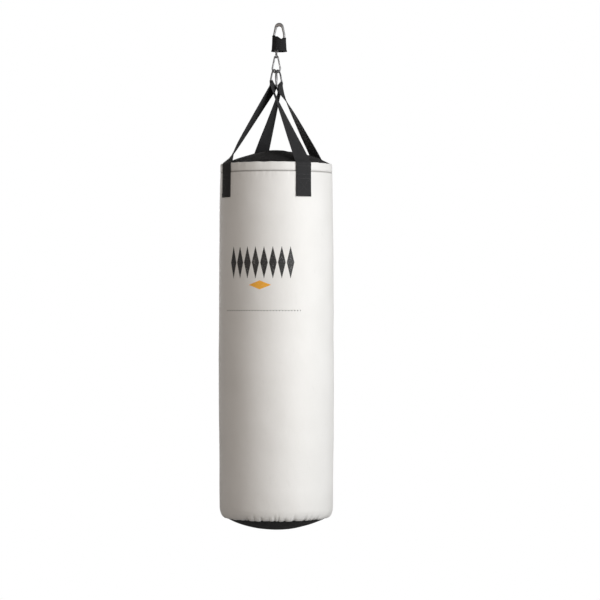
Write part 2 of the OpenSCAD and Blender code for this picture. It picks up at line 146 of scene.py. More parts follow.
class Wire:
    """A shader socket that takes Python arithmetic; each operation adds a Math node."""

    def __init__(self, finish, socket):
        self.finish = finish
        self.socket = socket

    def _math(self, operation, *values):
        return self.finish.node("ShaderNodeMath", {"operation": operation}, dict(enumerate(values)))

    def __add__(self, other):
        return self._math("ADD", self, other)

    __radd__ = __add__

    def __sub__(self, other):
        return self._math("SUBTRACT", self, other)

    def __rsub__(self, other):
        return self._math("SUBTRACT", other, self)

    def __mul__(self, other):
        return self._math("MULTIPLY", self, other)

    def __truediv__(self, other):
        return self._math("DIVIDE", self, other)

    def __lt__(self, other):
        return self._math("LESS_THAN", self, other)

    def __abs__(self):
        return self._math("ABSOLUTE", self)

    def fract(self):
        return self._math("FRACT", self)

    def sine(self):
        return self._math("SINE", self)

    def clamp(self):
        return self._math("MAXIMUM", self._math("MINIMUM", self, 1.0), 0.0)


class Finish:
    """One material, built up from nodes."""

    def __init__(self, name, roughness=0.6, metallic=0.0, **constants):
        self.material = bpy.data.materials.new(name)
        self.material.use_nodes = True
        self.tree = self.material.node_tree
        self.tree.nodes.clear()
        self.shader = self.tree.nodes.new("ShaderNodeBsdfPrincipled")
        self.shader.inputs["Roughness"].default_value = roughness
        self.shader.inputs["Metallic"].default_value = metallic
        for key, value in constants.items():
            self.shader.inputs[key.replace("_", " ")].default_value = value
        output = self.tree.nodes.new("ShaderNodeOutputMaterial")
        self.tree.links.new(self.shader.outputs[0], output.inputs[0])

    def node(self, kind, settings=None, sockets=None, out=0):
        """Adds a node: its settings first, then its sockets' values or links. Returns one output."""
        added = self.tree.nodes.new(kind)
        for key, value in (settings or {}).items():
            if key == "stops":
                self._stops(added.color_ramp, value)
            else:
                setattr(added, key, value)
        for key, value in (sockets or {}).items():
            target = added.inputs[key]
            if isinstance(value, Wire):
                self.tree.links.new(value.socket, target)
            else:
                target.default_value = value
        return Wire(self, added.outputs[out])

    @staticmethod
    def _stops(ramp, stops):
        while len(ramp.elements) > 1:
            ramp.elements.remove(ramp.elements[-1])
        ramp.elements[0].position, ramp.elements[0].color = stops[0][0], grey(stops[0][1])
        for place, colour in stops[1:]:
            ramp.elements.new(place).color = grey(colour)

    def place(self):
        """Object coordinates."""
        return self.node("ShaderNodeTexCoord", out="Object")

    def axes(self, vector):
        """The three parts of a vector."""
        split = self.tree.nodes.new("ShaderNodeSeparateXYZ")
        self.tree.links.new(vector.socket, split.inputs[0])
        return [Wire(self, out) for out in split.outputs]

    def around(self):
        """(angle from the front, height), on Object coordinates, round the bag's axis."""
        x, y, z = self.axes(self.place())
        angle = self.node("ShaderNodeMath", {"operation": "ARCTAN2"}, {0: x - AXIS_X, 1: y * -1})
        return angle, z

    def noise(self, vector, scale, detail=2.0, rough=0.5, stretch=(1, 1, 1)):
        factors = {0: vector, 1: Vector(stretch) * scale}
        scaled = self.node("ShaderNodeVectorMath", {"operation": "MULTIPLY"}, factors)
        sockets = {"Vector": scaled, "Scale": 1.0, "Detail": detail, "Roughness": rough}
        return self.node("ShaderNodeTexNoise", None, sockets)

    def mix(self, factor, first, second):
        """A colour between two colours."""
        return self.node("ShaderNodeMix", {"data_type": "RGBA"}, {0: factor, 6: first, 7: second}, out=2)

    def ramp(self, factor, stops):
        return self.node("ShaderNodeValToRGB", {"stops": stops}, {0: factor})

    def feed(self, name, wire):
        self.tree.links.new(wire.socket, self.shader.inputs[name])

    def bump(self, height, depth):
        """Feeds the normal; depth is the height in metres of a value of 1."""
        normal = self.node("ShaderNodeBump", None, {"Strength": 1.0, "Distance": depth, "Height": height})
        self.feed("Normal", normal)


def grey(value):
    """An RGBA colour from a number or three."""
    if isinstance(value, (int, float)):
        value = (value, value, value)
    return (*value, 1.0) if len(value) == 3 else tuple(value)


# ---- finishes ----

# Printed band, by distance round the wall and height
PRINT_Z = -0.698
LOZENGE_PITCH = 26 * MM
LOZENGE_HALF_H = 47 * MM
LOZENGES = 8
ACCENT_Z = -0.763
ACCENT_HALF = (34 * MM, 13 * MM)
DOTS_Z = -0.837
DOT_PITCH = 9 * MM
DOT_R = 1.9 * MM
DOTS_HALF = 122 * MM


def coated_cloth():
    """Pale coated cloth with a fine grain, a little handling wear, the printed band, and painted shade along
    the seam under the hem.
    """
    finish = Finish("coated_cloth", roughness=0.5, Sheen_Weight=0.12, Sheen_Roughness=0.5)
    place = finish.place()
    angle, height = finish.around()
    clouds = finish.noise(place, 9, detail=4)
    base = finish.mix(clouds, grey((0.76, 0.755, 0.735)), grey((0.85, 0.845, 0.83)))
    rubbed = finish.noise(place, 38, detail=5, rough=0.7, stretch=(1, 1, 0.35))
    scuffs = finish.ramp(rubbed, [(0.63, 0), (0.74, 1)])
    base = finish.mix(scuffs * 0.16, base, grey((0.5, 0.49, 0.47)))
    grime = ((height - (LOW_Z + 0.09)) / -0.09).clamp() * 0.25 * clouds
    base = finish.mix(grime, base, grey((0.42, 0.4, 0.37)))

    # Painted shade: a dark grey line along the seam, where the hem's lower edge laps over the wall.
    seam_groove_shade = (1 - abs(height - SEAM_Z - 0.0008) / 0.0036).clamp()
    base = finish.mix(seam_groove_shade * 0.75, base, grey((0.22, 0.21, 0.2)))

    across = angle * BAG_R
    cell = (across / LOZENGE_PITCH).fract() - 0.5
    lozenge = abs(cell) * 2.3 + abs(height - PRINT_Z) / LOZENGE_HALF_H < 1.0
    lozenge = lozenge * (abs(across) < LOZENGE_PITCH * LOZENGES / 2)
    accent = abs(across) / ACCENT_HALF[0] + abs(height - ACCENT_Z) / ACCENT_HALF[1] < 1.0
    dot_x = ((across / DOT_PITCH).fract() - 0.5) * DOT_PITCH
    dot_z = height - DOTS_Z
    dots = (dot_x * dot_x + dot_z * dot_z < DOT_R**2) * (abs(across) < DOTS_HALF)
    wear = finish.ramp(finish.noise(place, 260, detail=3), [(0.3, 0.86), (0.45, 1)])
    base = finish.mix(lozenge * wear, base, grey((0.012, 0.012, 0.013)))
    base = finish.mix(accent * wear, base, grey((0.9, 0.42, 0.03)))
    base = finish.mix(dots * 0.9, base, grey((0.03, 0.03, 0.03)))
    finish.feed("Base Color", base)

    printed = (lozenge + accent + dots).clamp()
    finish.feed("Roughness", 0.47 + clouds * 0.14 - printed * 0.1)
    grain = finish.node(
        "ShaderNodeTexVoronoi", {"feature": "F1"}, {"Vector": place, "Scale": 900.0}, out="Distance"
    )
    weave = (angle * 1150.0).sine() * (height * 6800.0).sine()
    lumps = finish.noise(place, 26, detail=3)
    finish.bump(grain * 0.35 + weave * 0.15 + lumps * 2.2 + printed * 0.25, 0.35 * MM)
    return finish.material


def woven_black(name, tint, ribs):
    """Black plain-woven cloth on Object coordinates; ribs is the number of threads in a metre."""
    finish = Finish(name, roughness=0.75, Sheen_Weight=0.03, Sheen_Roughness=0.45, Specular_IOR_Level=0.25)
    place = finish.place()
    x, y, z = finish.axes(place)
    weave = (x * ribs).sine() * (y * ribs).sine() * (z * ribs * 0.9).sine()
    dust = finish.noise(place, 30, detail=5, rough=0.65)
    dark = grey(tint)
    light = grey([c * 1.7 + 0.002 for c in tint])
    finish.feed("Base Color", finish.mix((dust * 0.7 + weave * 0.2).clamp(), dark, light))
    finish.feed("Roughness", 0.68 + dust * 0.2)
    folds = finish.noise(place, 45, detail=3)
    finish.bump(weave + folds * 2.5, 0.25 * MM)
    return finish.material


def webbing_cloth():
    """Black woven webbing: a twill and ribs along its UV map, paler at the selvages."""
    sheen = {"Sheen_Weight": 0.03, "Sheen_Roughness": 0.4, "Specular_IOR_Level": 0.35}
    finish = Finish("webbing_cloth", roughness=0.7, **sheen)
    u, v, _ = finish.axes(finish.node("ShaderNodeTexCoord", out="UV"))
    twill = ((u * 34 + v * 620).fract() - 0.5) * ((u * 34 - v * 620).fract() - 0.5)
    cords = (u * TAU * 17).sine()
    edge = (abs(u - 0.5) * 2 - 0.9) * 10
    dust = finish.noise(finish.place(), 60, detail=5, rough=0.7)
    colour = finish.mix((dust * 0.8 - 0.1).clamp(), grey((0.011, 0.011, 0.012)), grey((0.034, 0.035, 0.038)))
    colour = finish.mix(edge.clamp() * 0.45, colour, grey((0.05, 0.05, 0.053)))
    finish.feed("Base Color", colour)
    finish.feed("Roughness", 0.6 + dust * 0.25)
    finish.bump(twill * 2.4 + cords * 0.35 + dust * 0.4, 0.35 * MM)
    return finish.material


def plated_steel(name, colour, roughness, wear=0.35, scale=90):
    """Plated steel: a clouded plate with fine scratches, duller where it is handled."""
    finish = Finish(name, roughness=roughness, metallic=1.0)
    place = finish.place()
    clouds = finish.noise(place, scale, detail=4)
    scratches = finish.noise(place, scale * 6, detail=2, stretch=(1, 1, 0.12))
    dull = finish.ramp(finish.noise(place, scale * 2.2, detail=5, rough=0.7), [(0.5, 0), (0.72, 1)])
    base = finish.mix(clouds, grey([c * 0.8 for c in colour]), grey(colour))
    finish.feed("Base Color", finish.mix(dull * wear, base, grey([c * 0.45 for c in colour])))
    finish.feed("Roughness", roughness + clouds * 0.12 + dull * 0.16)
    finish.bump(scratches + clouds * 1.5, 0.03 * MM)
    return finish.material


def sewing_thread(name, colour):
    """Twisted thread."""
    finish = Finish(name, roughness=0.55, Sheen_Weight=0.2)
    place = finish.place()
    fuzz = finish.noise(place, 700, detail=2)
    finish.feed("Base Color", finish.mix(fuzz, grey([c * 0.75 for c in colour]), grey(colour)))
    finish.bump(fuzz, 0.05 * MM)
    return finish.material


def soft_filling(name, low, high, scale):
    """Foam, fibre or cloth-wrapped sand, inside the bag."""
    finish = Finish(name, roughness=0.9, Sheen_Weight=0.1)
    place = finish.place()
    lumps = finish.noise(place, scale, detail=6, rough=0.65)
    finish.feed("Base Color", finish.mix(lumps, grey(low), grey(high)))
    finish.feed("Roughness", 0.8 + lumps * 0.15)
    finish.bump(lumps, 1.2 * MM)
    return finish.material


CLOTH = coated_cloth()
CAP_CLOTH = woven_black("cap_cloth", (0.005, 0.0045, 0.005), 5200)
LOW_CLOTH = woven_black("low_cap_cloth", (0.016, 0.016, 0.016), 5200)
SLEEVE_CLOTH = woven_black("sleeve_cloth", (0.012, 0.012, 0.013), 7200)
ZIP_TAPE = woven_black("zip_tape", (0.012, 0.012, 0.012), 9000)
WEBBING = webbing_cloth()
FORGED = plated_steel("forged_steel", (0.38, 0.38, 0.39), 0.42, wear=0.15)
BRIGHT = plated_steel("bright_steel", (0.42, 0.42, 0.43), 0.24)
PLATED = plated_steel("plated_wire", (0.32, 0.32, 0.33), 0.4, wear=0.12)
ZIP_METAL = plated_steel("zip_metal", (0.45, 0.45, 0.47), 0.28, scale=300)
PALE_THREAD = sewing_thread("pale_thread", (0.62, 0.61, 0.59))
DARK_THREAD = sewing_thread("dark_thread", (0.035, 0.035, 0.038))
FOAM = soft_filling("foam", (0.72, 0.68, 0.5), (0.85, 0.81, 0.66), 120)
FIBRE = soft_filling("fibre", (0.3, 0.3, 0.33), (0.62, 0.6, 0.6), 45)
SAND_BAG = soft_filling("sand_bag", (0.42, 0.35, 0.26), (0.58, 0.5, 0.38), 30)

# ---- mesh helpers ----


def link_new(name, data):
    """A new object in the scene."""
    added = bpy.data.objects.new(name, data)
    bpy.context.scene.collection.objects.link(added)
    return added


def add_mesh(name, points, faces, material, uvs=None, flat=False):
    """A mesh object at the origin; uvs holds one (u, v) for each point."""
    mesh = bpy.data.meshes.new(name)
    mesh.from_pydata([tuple(p) for p in points], [], faces)
    mesh.materials.append(material)
    if uvs is not None:
        layer = mesh.uv_layers.new(name="UVMap")
        for loop in mesh.loops:
            layer.data[loop.index].uv = uvs[loop.vertex_index]
    if not flat:
        mesh.shade_smooth()
    mesh.validate()
    return link_new(name, mesh)


def grid_faces(rows, columns, closed_rows=False, closed_columns=True):
    """Quads between rows of points."""
    faces = []
    for i in range(rows if closed_rows else rows - 1):
        for j in range(columns if closed_columns else columns - 1):
            k = (j + 1) % columns
            m = (i + 1) % rows
            faces.append((i * columns + j, i * columns + k, m * columns + k, m * columns + j))
    return faces


def capped_faces(rows, columns):
    """Quads between rows of points, and a face over each end."""
    last = (rows - 1) * columns
    ends = [tuple(range(columns))[::-1], tuple(range(last, last + columns))]
    return grid_faces(rows, columns) + ends


def frames_along(points, closed=False):
    """(point, side, up) along a path, turned as little as possible."""
    count = len(points)
    tangents = []
    for i in range(count):
        before = points[i - 1] if (closed or i > 0) else points[i]
        after = points[(i + 1) % count] if (closed or i < count - 1) else points[i]
        tangents.append((after - before).normalized())
    up = tangents[0].orthogonal().normalized()
    found = []
    for i, tangent in enumerate(tangents):
        if i:
            up = tangents[i - 1].rotation_difference(tangent) @ up
        up = (up - tangent * up.dot(tangent)).normalized()
        found.append((points[i], up.cross(tangent).normalized(), up))
    return found


def tube(name, points, radius, material, sides=20, closed=False):
    """A round bar along a path. radius is a number or a function of 0..1 along it; the ends are domed."""
    size = radius if callable(radius) else (lambda t: radius)
    stations = []
    count = len(points)
    for i, (p, side, up) in enumerate(frames_along(points, closed)):
        stations.append((p, side, up, size(i / (count if closed else count - 1))))
    if not closed:
        stations = domed_end(stations, 0) + stations + domed_end(stations, -1)
    rings = [
        p + side * math.cos(TAU * j / sides) * r + up * math.sin(TAU * j / sides) * r
        for p, side, up, r in stations
        for j in range(sides)
    ]
    rows = len(stations)
    faces = grid_faces(rows, sides, closed_rows=True) if closed else capped_faces(rows, sides)
    return point_outwards(add_mesh(name, rings, faces, material))


def domed_end(stations, which):
    """Shrinking stations that round off one end of a bar."""
    p, side, up, r = stations[which]
    neighbour = stations[1 if which == 0 else -2][0]
    out = (p - neighbour).normalized()
    added = []
    for step in (0.35, 0.7, 0.9, 0.99):
        added.append((p + out * r * 0.45 * step, side, up, r * math.sqrt(1 - step**2)))
    return added[::-1] if which == 0 else added


def point_outwards(piece, merge=False):
    """Makes the faces of a closed mesh point outwards; merge joins its doubled points first."""
    work = bmesh.new()
    work.from_mesh(piece.data)
    if merge:
        bmesh.ops.remove_doubles(work, verts=work.verts, dist=1e-6)
        bmesh.ops.dissolve_degenerate(work, edges=work.edges, dist=1e-7)
    bmesh.ops.recalc_face_normals(work, faces=work.faces)
    if work.calc_volume(signed=True) < 0:
        bmesh.ops.reverse_faces(work, faces=work.faces)
    work.to_mesh(piece.data)
    work.free()
    return piece


def join(name, parts):
    """One object from several."""
    bpy.ops.object.select_all(action="DESELECT")
    for part in parts:
        part.select_set(True)
    bpy.context.view_layer.objects.active = parts[0]
    bpy.ops.object.join()
    parts[0].name = name
    parts[0].data.name = name
    return parts[0]


def apply_modifiers(piece):
    """The modified shape becomes the mesh."""
    graph = bpy.context.evaluated_depsgraph_get()
    mesh = bpy.data.meshes.new_from_object(piece.evaluated_get(graph))
    piece.modifiers.clear()
    piece.data = mesh
    return piece


def modified(piece, kind, **settings):
    """Adds a modifier and applies it."""
    added = piece.modifiers.new(kind.title(), kind)
    for key, value in settings.items():
        setattr(added, key, value)
    return apply_modifiers(piece)


def arc(centre, radius, start, stop, count, across=Vector((1, 0, 0)), up=Vector((0, 0, 1))):
    """Points on an arc; angles in degrees from across towards up."""
    return [
        centre + across * radius * math.cos(math.radians(a)) + up * radius * math.sin(math.radians(a))
        for a in np.linspace(start, stop, count)
    ]


def between(a, b, count):
    """Points on a line, without its ends."""
    return [a.lerp(b, (i + 1) / (count + 1)) for i in range(count)]


# ---- stitches, by geometry nodes ----


class Tree:
    """A geometry node tree with named inputs."""

    def __init__(self, name, inputs):
        self.group = bpy.data.node_groups.new(name, "GeometryNodeTree")
        face = self.group.interface
        face.new_socket("Geometry", in_out="INPUT", socket_type="NodeSocketGeometry")
        self.ids = {}
        for key, kind in inputs.items():
            self.ids[key] = face.new_socket(key, in_out="INPUT", socket_type="NodeSocket" + kind).identifier
        face.new_socket("Geometry", in_out="OUTPUT", socket_type="NodeSocketGeometry")
        self.start = self.group.nodes.new("NodeGroupInput")
        self.end = self.group.nodes.new("NodeGroupOutput")

    def node(self, kind, settings=None, sockets=None):
        """Adds a node; sockets maps an input to a value or to (node, output)."""
        added = self.group.nodes.new(kind)
        for key, value in (settings or {}).items():
            setattr(added, key, value)
        for key, value in (sockets or {}).items():
            if isinstance(value, tuple) and isinstance(value[0], bpy.types.Node):
                self.group.links.new(value[0].outputs[value[1]], added.inputs[key])
            else:
                added.inputs[key].default_value = value
        return added

    def close(self, last, material):
        """Realizes the instances of the last node, smooths them and sets the material input's value."""
        solid = self.node("GeometryNodeRealizeInstances", None, {"Geometry": (last, 0)})
        smooth = self.node("GeometryNodeSetShadeSmooth", None, {"Geometry": (solid, 0)})
        sockets = {"Geometry": (smooth, 0), "Material": (self.start, material)}
        painted = self.node("GeometryNodeSetMaterial", None, sockets)
        self.group.links.new(painted.outputs[0], self.end.inputs[0])
        return self

    def run(self, name, paths, values):
        """Runs the tree on the edges along some paths; the result is a plain mesh object."""
        points = []
        edges = []
        for path in paths:
            first = len(points)
            points += [tuple(p) for p in path]
            edges += [(first + i, first + i + 1) for i in range(len(path) - 1)]
        mesh = bpy.data.meshes.new(name)
        mesh.from_pydata(points, edges, [])
        source = link_new(name, mesh)
        modifier = source.modifiers.new(self.group.name, "NODES")
        modifier.node_group = self.group
        for key, value in values.items():
            modifier[self.ids[key]] = value
        apply_modifiers(source)
        source.name = name
        source.data.name = name
        return source


def stitch_tree():
    """Stitches along edges: Length of a stitch, Gap between two, Thickness of the thread."""
    measures = {"Length": "Float", "Gap": "Float", "Thickness": "Float"}
    tree = Tree("stitches", {**measures, "Thread": "Material"})
    pitch = tree.node(
        "ShaderNodeMath", {"operation": "ADD"}, {0: (tree.start, "Length"), 1: (tree.start, "Gap")}
    )
    curve = tree.node("GeometryNodeMeshToCurve", None, {"Mesh": (tree.start, "Geometry")})
    points = tree.node(
        "GeometryNodeCurveToPoints", {"mode": "LENGTH"}, {"Curve": (curve, 0), "Length": (pitch, 0)}
    )
    bead = tree.node("GeometryNodeMeshUVSphere", None, {"Segments": 6, "Rings": 4, "Radius": 1.0})
    half = tree.node("ShaderNodeMath", {"operation": "MULTIPLY"}, {0: (tree.start, "Length"), 1: 0.5})
    size = tree.node(
        "ShaderNodeCombineXYZ",
        None,
        {0: (tree.start, "Thickness"), 1: (tree.start, "Thickness"), 2: (half, 0)},
    )
    turn = tree.node("FunctionNodeAlignRotationToVector", {"axis": "Z"}, {"Vector": (points, "Tangent")})
    placed = tree.node(
        "GeometryNodeInstanceOnPoints",
        None,
        {"Points": (points, 0), "Instance": (bead, 0), "Rotation": (turn, 0), "Scale": (size, 0)},
    )
    return tree.close(placed, "Thread")


STITCHES = stitch_tree()


def finished(piece, body, *nodes, slot=None):
    """Hands a piece to the frame: its body and the CAD nodes it stands for. The slot argument, its finish, is
    not used.
    """
    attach(piece, body)
    if nodes:
        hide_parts(*nodes)
    return piece


def sew(name, body, paths, thread, length, space, thick):
    """Hands over a row of stitches along each path, as one piece. Measures in millimetres."""
    values = {"Length": length * MM, "Gap": space * MM, "Thickness": thick * MM, "Thread": thread}
    finished(STITCHES.run(name, paths, values), body)


# ---- more shape helpers ----


def rounded(corners, radius, steps=4, closed=True):
    """A profile with its corners rounded. radius is one number, or one for each corner."""
    count = len(corners)
    radii = radius if hasattr(radius, "__len__") else [radius] * count
    outline = []
    for i, (corner, r) in enumerate(zip(corners, radii)):
        if not closed and i in (0, count - 1):
            outline.append(corner)
            continue
        here = Vector(corner)
        back = Vector(corners[i - 1]) - here
        on = Vector(corners[(i + 1) % count]) - here
        r = min(r, back.length * 0.48, on.length * 0.48)
        first, last = here + back.normalized() * r, here + on.normalized() * r
        for step in range(steps + 1):
            t = step / steps
            outline.append(tuple(first * (1 - t) ** 2 + here * 2 * t * (1 - t) + last * t**2))
    return outline


def lathe(name, profile, material, columns, at=ON_AXIS, turn=None, closed=True, shape=None):
    """Turns a profile of (radius, height) round the Z axis, then turns the piece and puts it at a point.
    shape(angle, radius, height) may change the radius and height; angle 0 is the front."""
    place = Matrix.Translation(Vector(at)) @ (turn or Matrix.Identity(4))
    points = []
    for radius, height in profile:
        for j in range(columns):
            angle = TAU * j / columns
            r, z = shape(angle, radius, height) if shape else (radius, height)
            points.append(place @ Vector((r * math.sin(angle), -r * math.cos(angle), z)))
    faces = grid_faces(len(profile), columns, closed_rows=closed)
    return point_outwards(add_mesh(name, points, faces, material), merge=True)


def loft(name, stations, section, material):
    """A skin over stations of (middle, side vector, up vector), with a section of (side, up) shares."""
    points = [p + side * a + up * b for p, side, up in stations for a, b in section]
    faces = capped_faces(len(stations), len(section))
    return point_outwards(add_mesh(name, points, faces, material), merge=True)


def rounded_turn(t, along, across):
    """(x, y) on a rounded outline at an angle t; a power of 1 is an ellipse's, and less is squarer."""
    c, d = math.cos(t), math.sin(t)
    return math.copysign(abs(c) ** along, c), math.copysign(abs(d) ** across, d)


def oval_section(sides, squareness):
    """A rounded section; 2 is an ellipse, and more is squarer."""
    power = 2 / squareness
    return [rounded_turn(TAU * j / sides, power, power) for j in range(sides)]


def cut(piece, cutters):
    """Cuts the cutters out of a piece and removes them."""
    for cutter in cutters:
        modified(piece, "BOOLEAN", object=cutter, operation="DIFFERENCE", solver="EXACT")
        bpy.data.objects.remove(cutter)
    return piece


def block(name, low, high, material, place=None, edge=0.0):
    """A box between two corners, with rounded edges."""
    work = bmesh.new()
    bmesh.ops.create_cube(work, size=1)
    low, high = Vector(low), Vector(high)
    for vert in work.verts:
        vert.co = (low + high) / 2 + vert.co * (high - low)
    if edge:
        bmesh.ops.bevel(work, geom=work.edges, offset=edge, segments=3, affect="EDGES", profile=0.5)
    mesh = bpy.data.meshes.new(name)
    work.to_mesh(mesh)
    work.free()
    mesh.materials.append(material)
    if place is not None:
        mesh.transform(place)
    if edge:
        mesh.shade_smooth()
    return link_new(name, mesh)


class Gathers:
    """Uneven gathered folds round an edge: each has an angle, a width, a reach and a depth."""

    def __init__(self, seed, count, width, reach, depth):
        draw = np.random.default_rng(seed)
        spacing = TAU / count
        self.angles = np.arange(count) * spacing + draw.uniform(-0.4, 0.4, count) * spacing
        self.widths = draw.uniform(0.6, 1.3, count) * width
        self.reaches = draw.uniform(0.35, 1.0, count) * reach
        self.depths = draw.uniform(0.25, 1.0, count) * depth

    def depth(self, angle, inward):
        """How deep the cloth is pulled in at an angle and a distance from the edge."""
        turn = np.abs((angle - self.angles + math.pi) % TAU - math.pi)
        across = np.exp(-((turn / self.widths) ** 2))
        along = np.clip(1 - inward / self.reaches, 0, 1)
        return float((self.depths * across * along * along * (3 - 2 * along)).sum())


SETTLE_FRAMES = 20
FILLING_PRESSURE = 4


def settle(sheet, held, limit, ease, inner=0.4 * MM):
    """Cloth simulation: a sewn sheet takes its own folds under the pressure of the filling. Points
    for which held(point) is true stay put. No other point moves further than the limit, or further
    into the filling than inner. ease is the part by which the sheet is cut larger than its place."""
    sewn = sheet.vertex_groups.new(name="sewn_down")
    sewn.add([v.index for v in sheet.data.vertices if held(v.co)], 1.0, "REPLACE")
    cloth = sheet.modifiers.new("Cloth", "CLOTH")
    cloth.point_cache.frame_start = 1
    cloth.point_cache.frame_end = SETTLE_FRAMES
    cloth.collision_settings.use_collision = False
    cloth.settings.quality = 5
    cloth.settings.vertex_group_mass = sewn.name
    cloth.settings.use_pressure = True
    cloth.settings.uniform_pressure_force = FILLING_PRESSURE
    cloth.settings.shrink_min = -ease
    cloth.settings.effector_weights.gravity = 0
    for number in range(1, SETTLE_FRAMES + 1):
        bpy.context.scene.frame_set(number)
    rest = np.empty((len(sheet.data.vertices), 3), dtype=np.float32)
    settled = np.empty_like(rest)
    sheet.data.vertices.foreach_get("co", rest.ravel())
    graph = bpy.context.evaluated_depsgraph_get()
    sheet.evaluated_get(graph).data.vertices.foreach_get("co", settled.ravel())
    move = settled - rest
    out = np.array([v.normal for v in sheet.data.vertices])
    along = (move * out).sum(axis=1, keepdims=True)
    move += out * (np.maximum(along, -inner) - along)
    length = np.linalg.norm(move, axis=1, keepdims=True) + 1e-9
    sheet.modifiers.clear()
    sheet.vertex_groups.clear()
    places = rest + move / length * limit * np.tanh(length / limit)
    sheet.data.vertices.foreach_set("co", places.ravel())
    sheet.data.update()
    bpy.context.scene.frame_set(1)


def ripple(point, scale, seed=0.0):
    """Smooth noise from about -1 to 1 at a point."""
    return noise.noise(Vector(point) * scale + Vector((seed, seed * 1.7, seed * 0.3)))


# ---- camera, light and floor ----

VIEW_AZIMUTH = math.radians(16)
VIEW_DISTANCE = 7.183
VIEW_SIDE = 0.0615  # the bag hangs this far left of the middle of the view
VIEW_Z = -0.8067
LENS = 146.1
FLOOR_Z = CAP_LOW - 0.45


def add_camera():
    data = bpy.data.cameras.new("camera")
    data.lens = LENS
    data.sensor_width = 36
    data.clip_end = 60
    camera = link_new("camera", data)
    right = Vector((math.cos(VIEW_AZIMUTH), math.sin(VIEW_AZIMUTH), 0))
    towards = Vector((math.sin(VIEW_AZIMUTH), -math.cos(VIEW_AZIMUTH), 0))
    camera.location = right * VIEW_SIDE + towards * VIEW_DISTANCE + Vector((0, 0, VIEW_Z))
    camera.rotation_euler = (math.pi / 2, 0, VIEW_AZIMUTH)
    bpy.context.scene.camera = camera


def add_light(name, azimuth, elevation, distance, size, power, colour, height):
    """A soft rectangular light that faces the middle of the bag."""
    data = bpy.data.lights.new(name, "AREA")
    data.shape = "RECTANGLE"
    data.size = size
    data.size_y = height
    data.energy = power
    data.color = colour
    light = link_new(name, data)
    a, e = math.radians(azimuth), math.radians(elevation)
    aim = Vector((AXIS_X, 0, (TOP_Z + LOW_Z) / 2))
    away = Vector((math.sin(a) * math.cos(e), -math.cos(a) * math.cos(e), math.sin(e)))
    light.location = aim + away * distance
    light.rotation_euler = away.to_track_quat("Z", "Y").to_euler()


def add_world():
    """White to the camera, and a dim even light on the object."""
    world = bpy.data.worlds.new("studio")
    bpy.context.scene.world = world
    world.use_nodes = True
    tree = world.node_tree
    tree.nodes.clear()
    path = tree.nodes.new("ShaderNodeLightPath")
    white = tree.nodes.new("ShaderNodeBackground")
    white.inputs[0].default_value = (1, 1, 1, 1)
    dim = tree.nodes.new("ShaderNodeBackground")
    dim.inputs[0].default_value = (1.0, 0.975, 0.95, 1)
    dim.inputs[1].default_value = 0.25
    mix = tree.nodes.new("ShaderNodeMixShader")
    output = tree.nodes.new("ShaderNodeOutputWorld")
    tree.links.new(path.outputs["Is Camera Ray"], mix.inputs[0])
    tree.links.new(dim.outputs[0], mix.inputs[1])
    tree.links.new(white.outputs[0], mix.inputs[2])
    tree.links.new(mix.outputs[0], output.inputs[0])


def add_floor():
    """A pale floor well below the hanging bag."""
    finish = Finish("studio_floor", roughness=0.9)
    finish.shader.inputs["Base Color"].default_value = grey(0.3)
    glow = finish.tree.nodes.new("ShaderNodeEmission")
    mix = finish.tree.nodes.new("ShaderNodeMixShader")
    path = finish.tree.nodes.new("ShaderNodeLightPath")
    output = finish.tree.nodes["Material Output"]
    finish.tree.links.new(path.outputs["Is Camera Ray"], mix.inputs[0])
    finish.tree.links.new(finish.shader.outputs[0], mix.inputs[1])
    finish.tree.links.new(glow.outputs[0], mix.inputs[2])
    finish.tree.links.new(mix.outputs[0], output.inputs[0])
    ring = [Vector((7 * math.cos(TAU * i / 96), 7 * math.sin(TAU * i / 96), FLOOR_Z)) for i in range(96)]
    floor = add_mesh("floor", ring, [tuple(range(96))], finish.material, flat=True)


add_camera()
add_world()
add_floor()
add_light("key", 66, 12, 3.2, 1.7, 96, (1.0, 1.0, 1.0), height=2.4)
add_light("fill", -24, 6, 3.6, 1.2, 20, (1.0, 0.84, 0.71), height=2.4)
add_light("back", 215, 12, 3.6, 1.6, 22, (1, 1, 1), height=2.2)
bpy.context.scene.view_settings.view_transform = "Standard"

# ---- bag ----

LOW_GATHERS = Gathers(seed=7, count=54, width=0.022, reach=0.032, depth=0.0032)
HEM_PUCKERS = Gathers(seed=11, count=64, width=0.02, reach=0.03, depth=0.0012)


def wall_shape(angle, radius, z):
    """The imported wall: slightly uneven, puckered under the hem and gathered at the lower edge."""
    point = on_bag(angle, radius, z)
    radius += ripple(point, 7.0) * 0.0011 + ripple(point, 24.0, 3.1) * 0.00028
    radius -= HEM_PUCKERS.depth(angle, SEAM_Z - z)
    pull = LOW_GATHERS.depth(angle, (z - LOW_Z) * 1.1)
    low = smooth_step(1 - (z - LOW_Z) / 0.05)
    radius -= pull
    z += low * (0.0022 * ripple((math.sin(angle), math.cos(angle), 0), 5.0) + pull * 1.1 - 0.0012)
    return radius, z


def make_wall():
    rows = list(np.linspace(SEAM_Z, SEAM_Z - 0.03, 8))
    rows += list(np.linspace(SEAM_Z - 0.04, LOW_Z + 0.07, 66))
    rows += list(np.linspace(LOW_Z + 0.062, LOW_Z + CORNER_H, 8))
    corner = [LOW_Z + CORNER_H * (1 - math.sin(t)) for t in np.linspace(0.12, math.pi / 2, 15)]
    profile = [(wall_radius(z), z) for z in rows + corner]
    top_r, top_z = profile[0]
    turned_in = [(top_r - 0.0022, top_z + 0.0008), (top_r - 0.0008, top_z + 0.0009)]
    low_r = profile[-1][0]
    turned_under = [(low_r - 0.0016, LOW_Z + 0.0002), (low_r - 0.0024, LOW_Z + 0.0016)]
    profile = turned_in + profile + turned_under
    wall = lathe("side_wall", profile, CLOTH, columns=360, closed=False, shape=wall_shape)
    modified(wall, "SOLIDIFY", thickness=1.8 * MM, offset=-1)
    finished(wall, "bag", "side_shell", slot="coated_cloth")


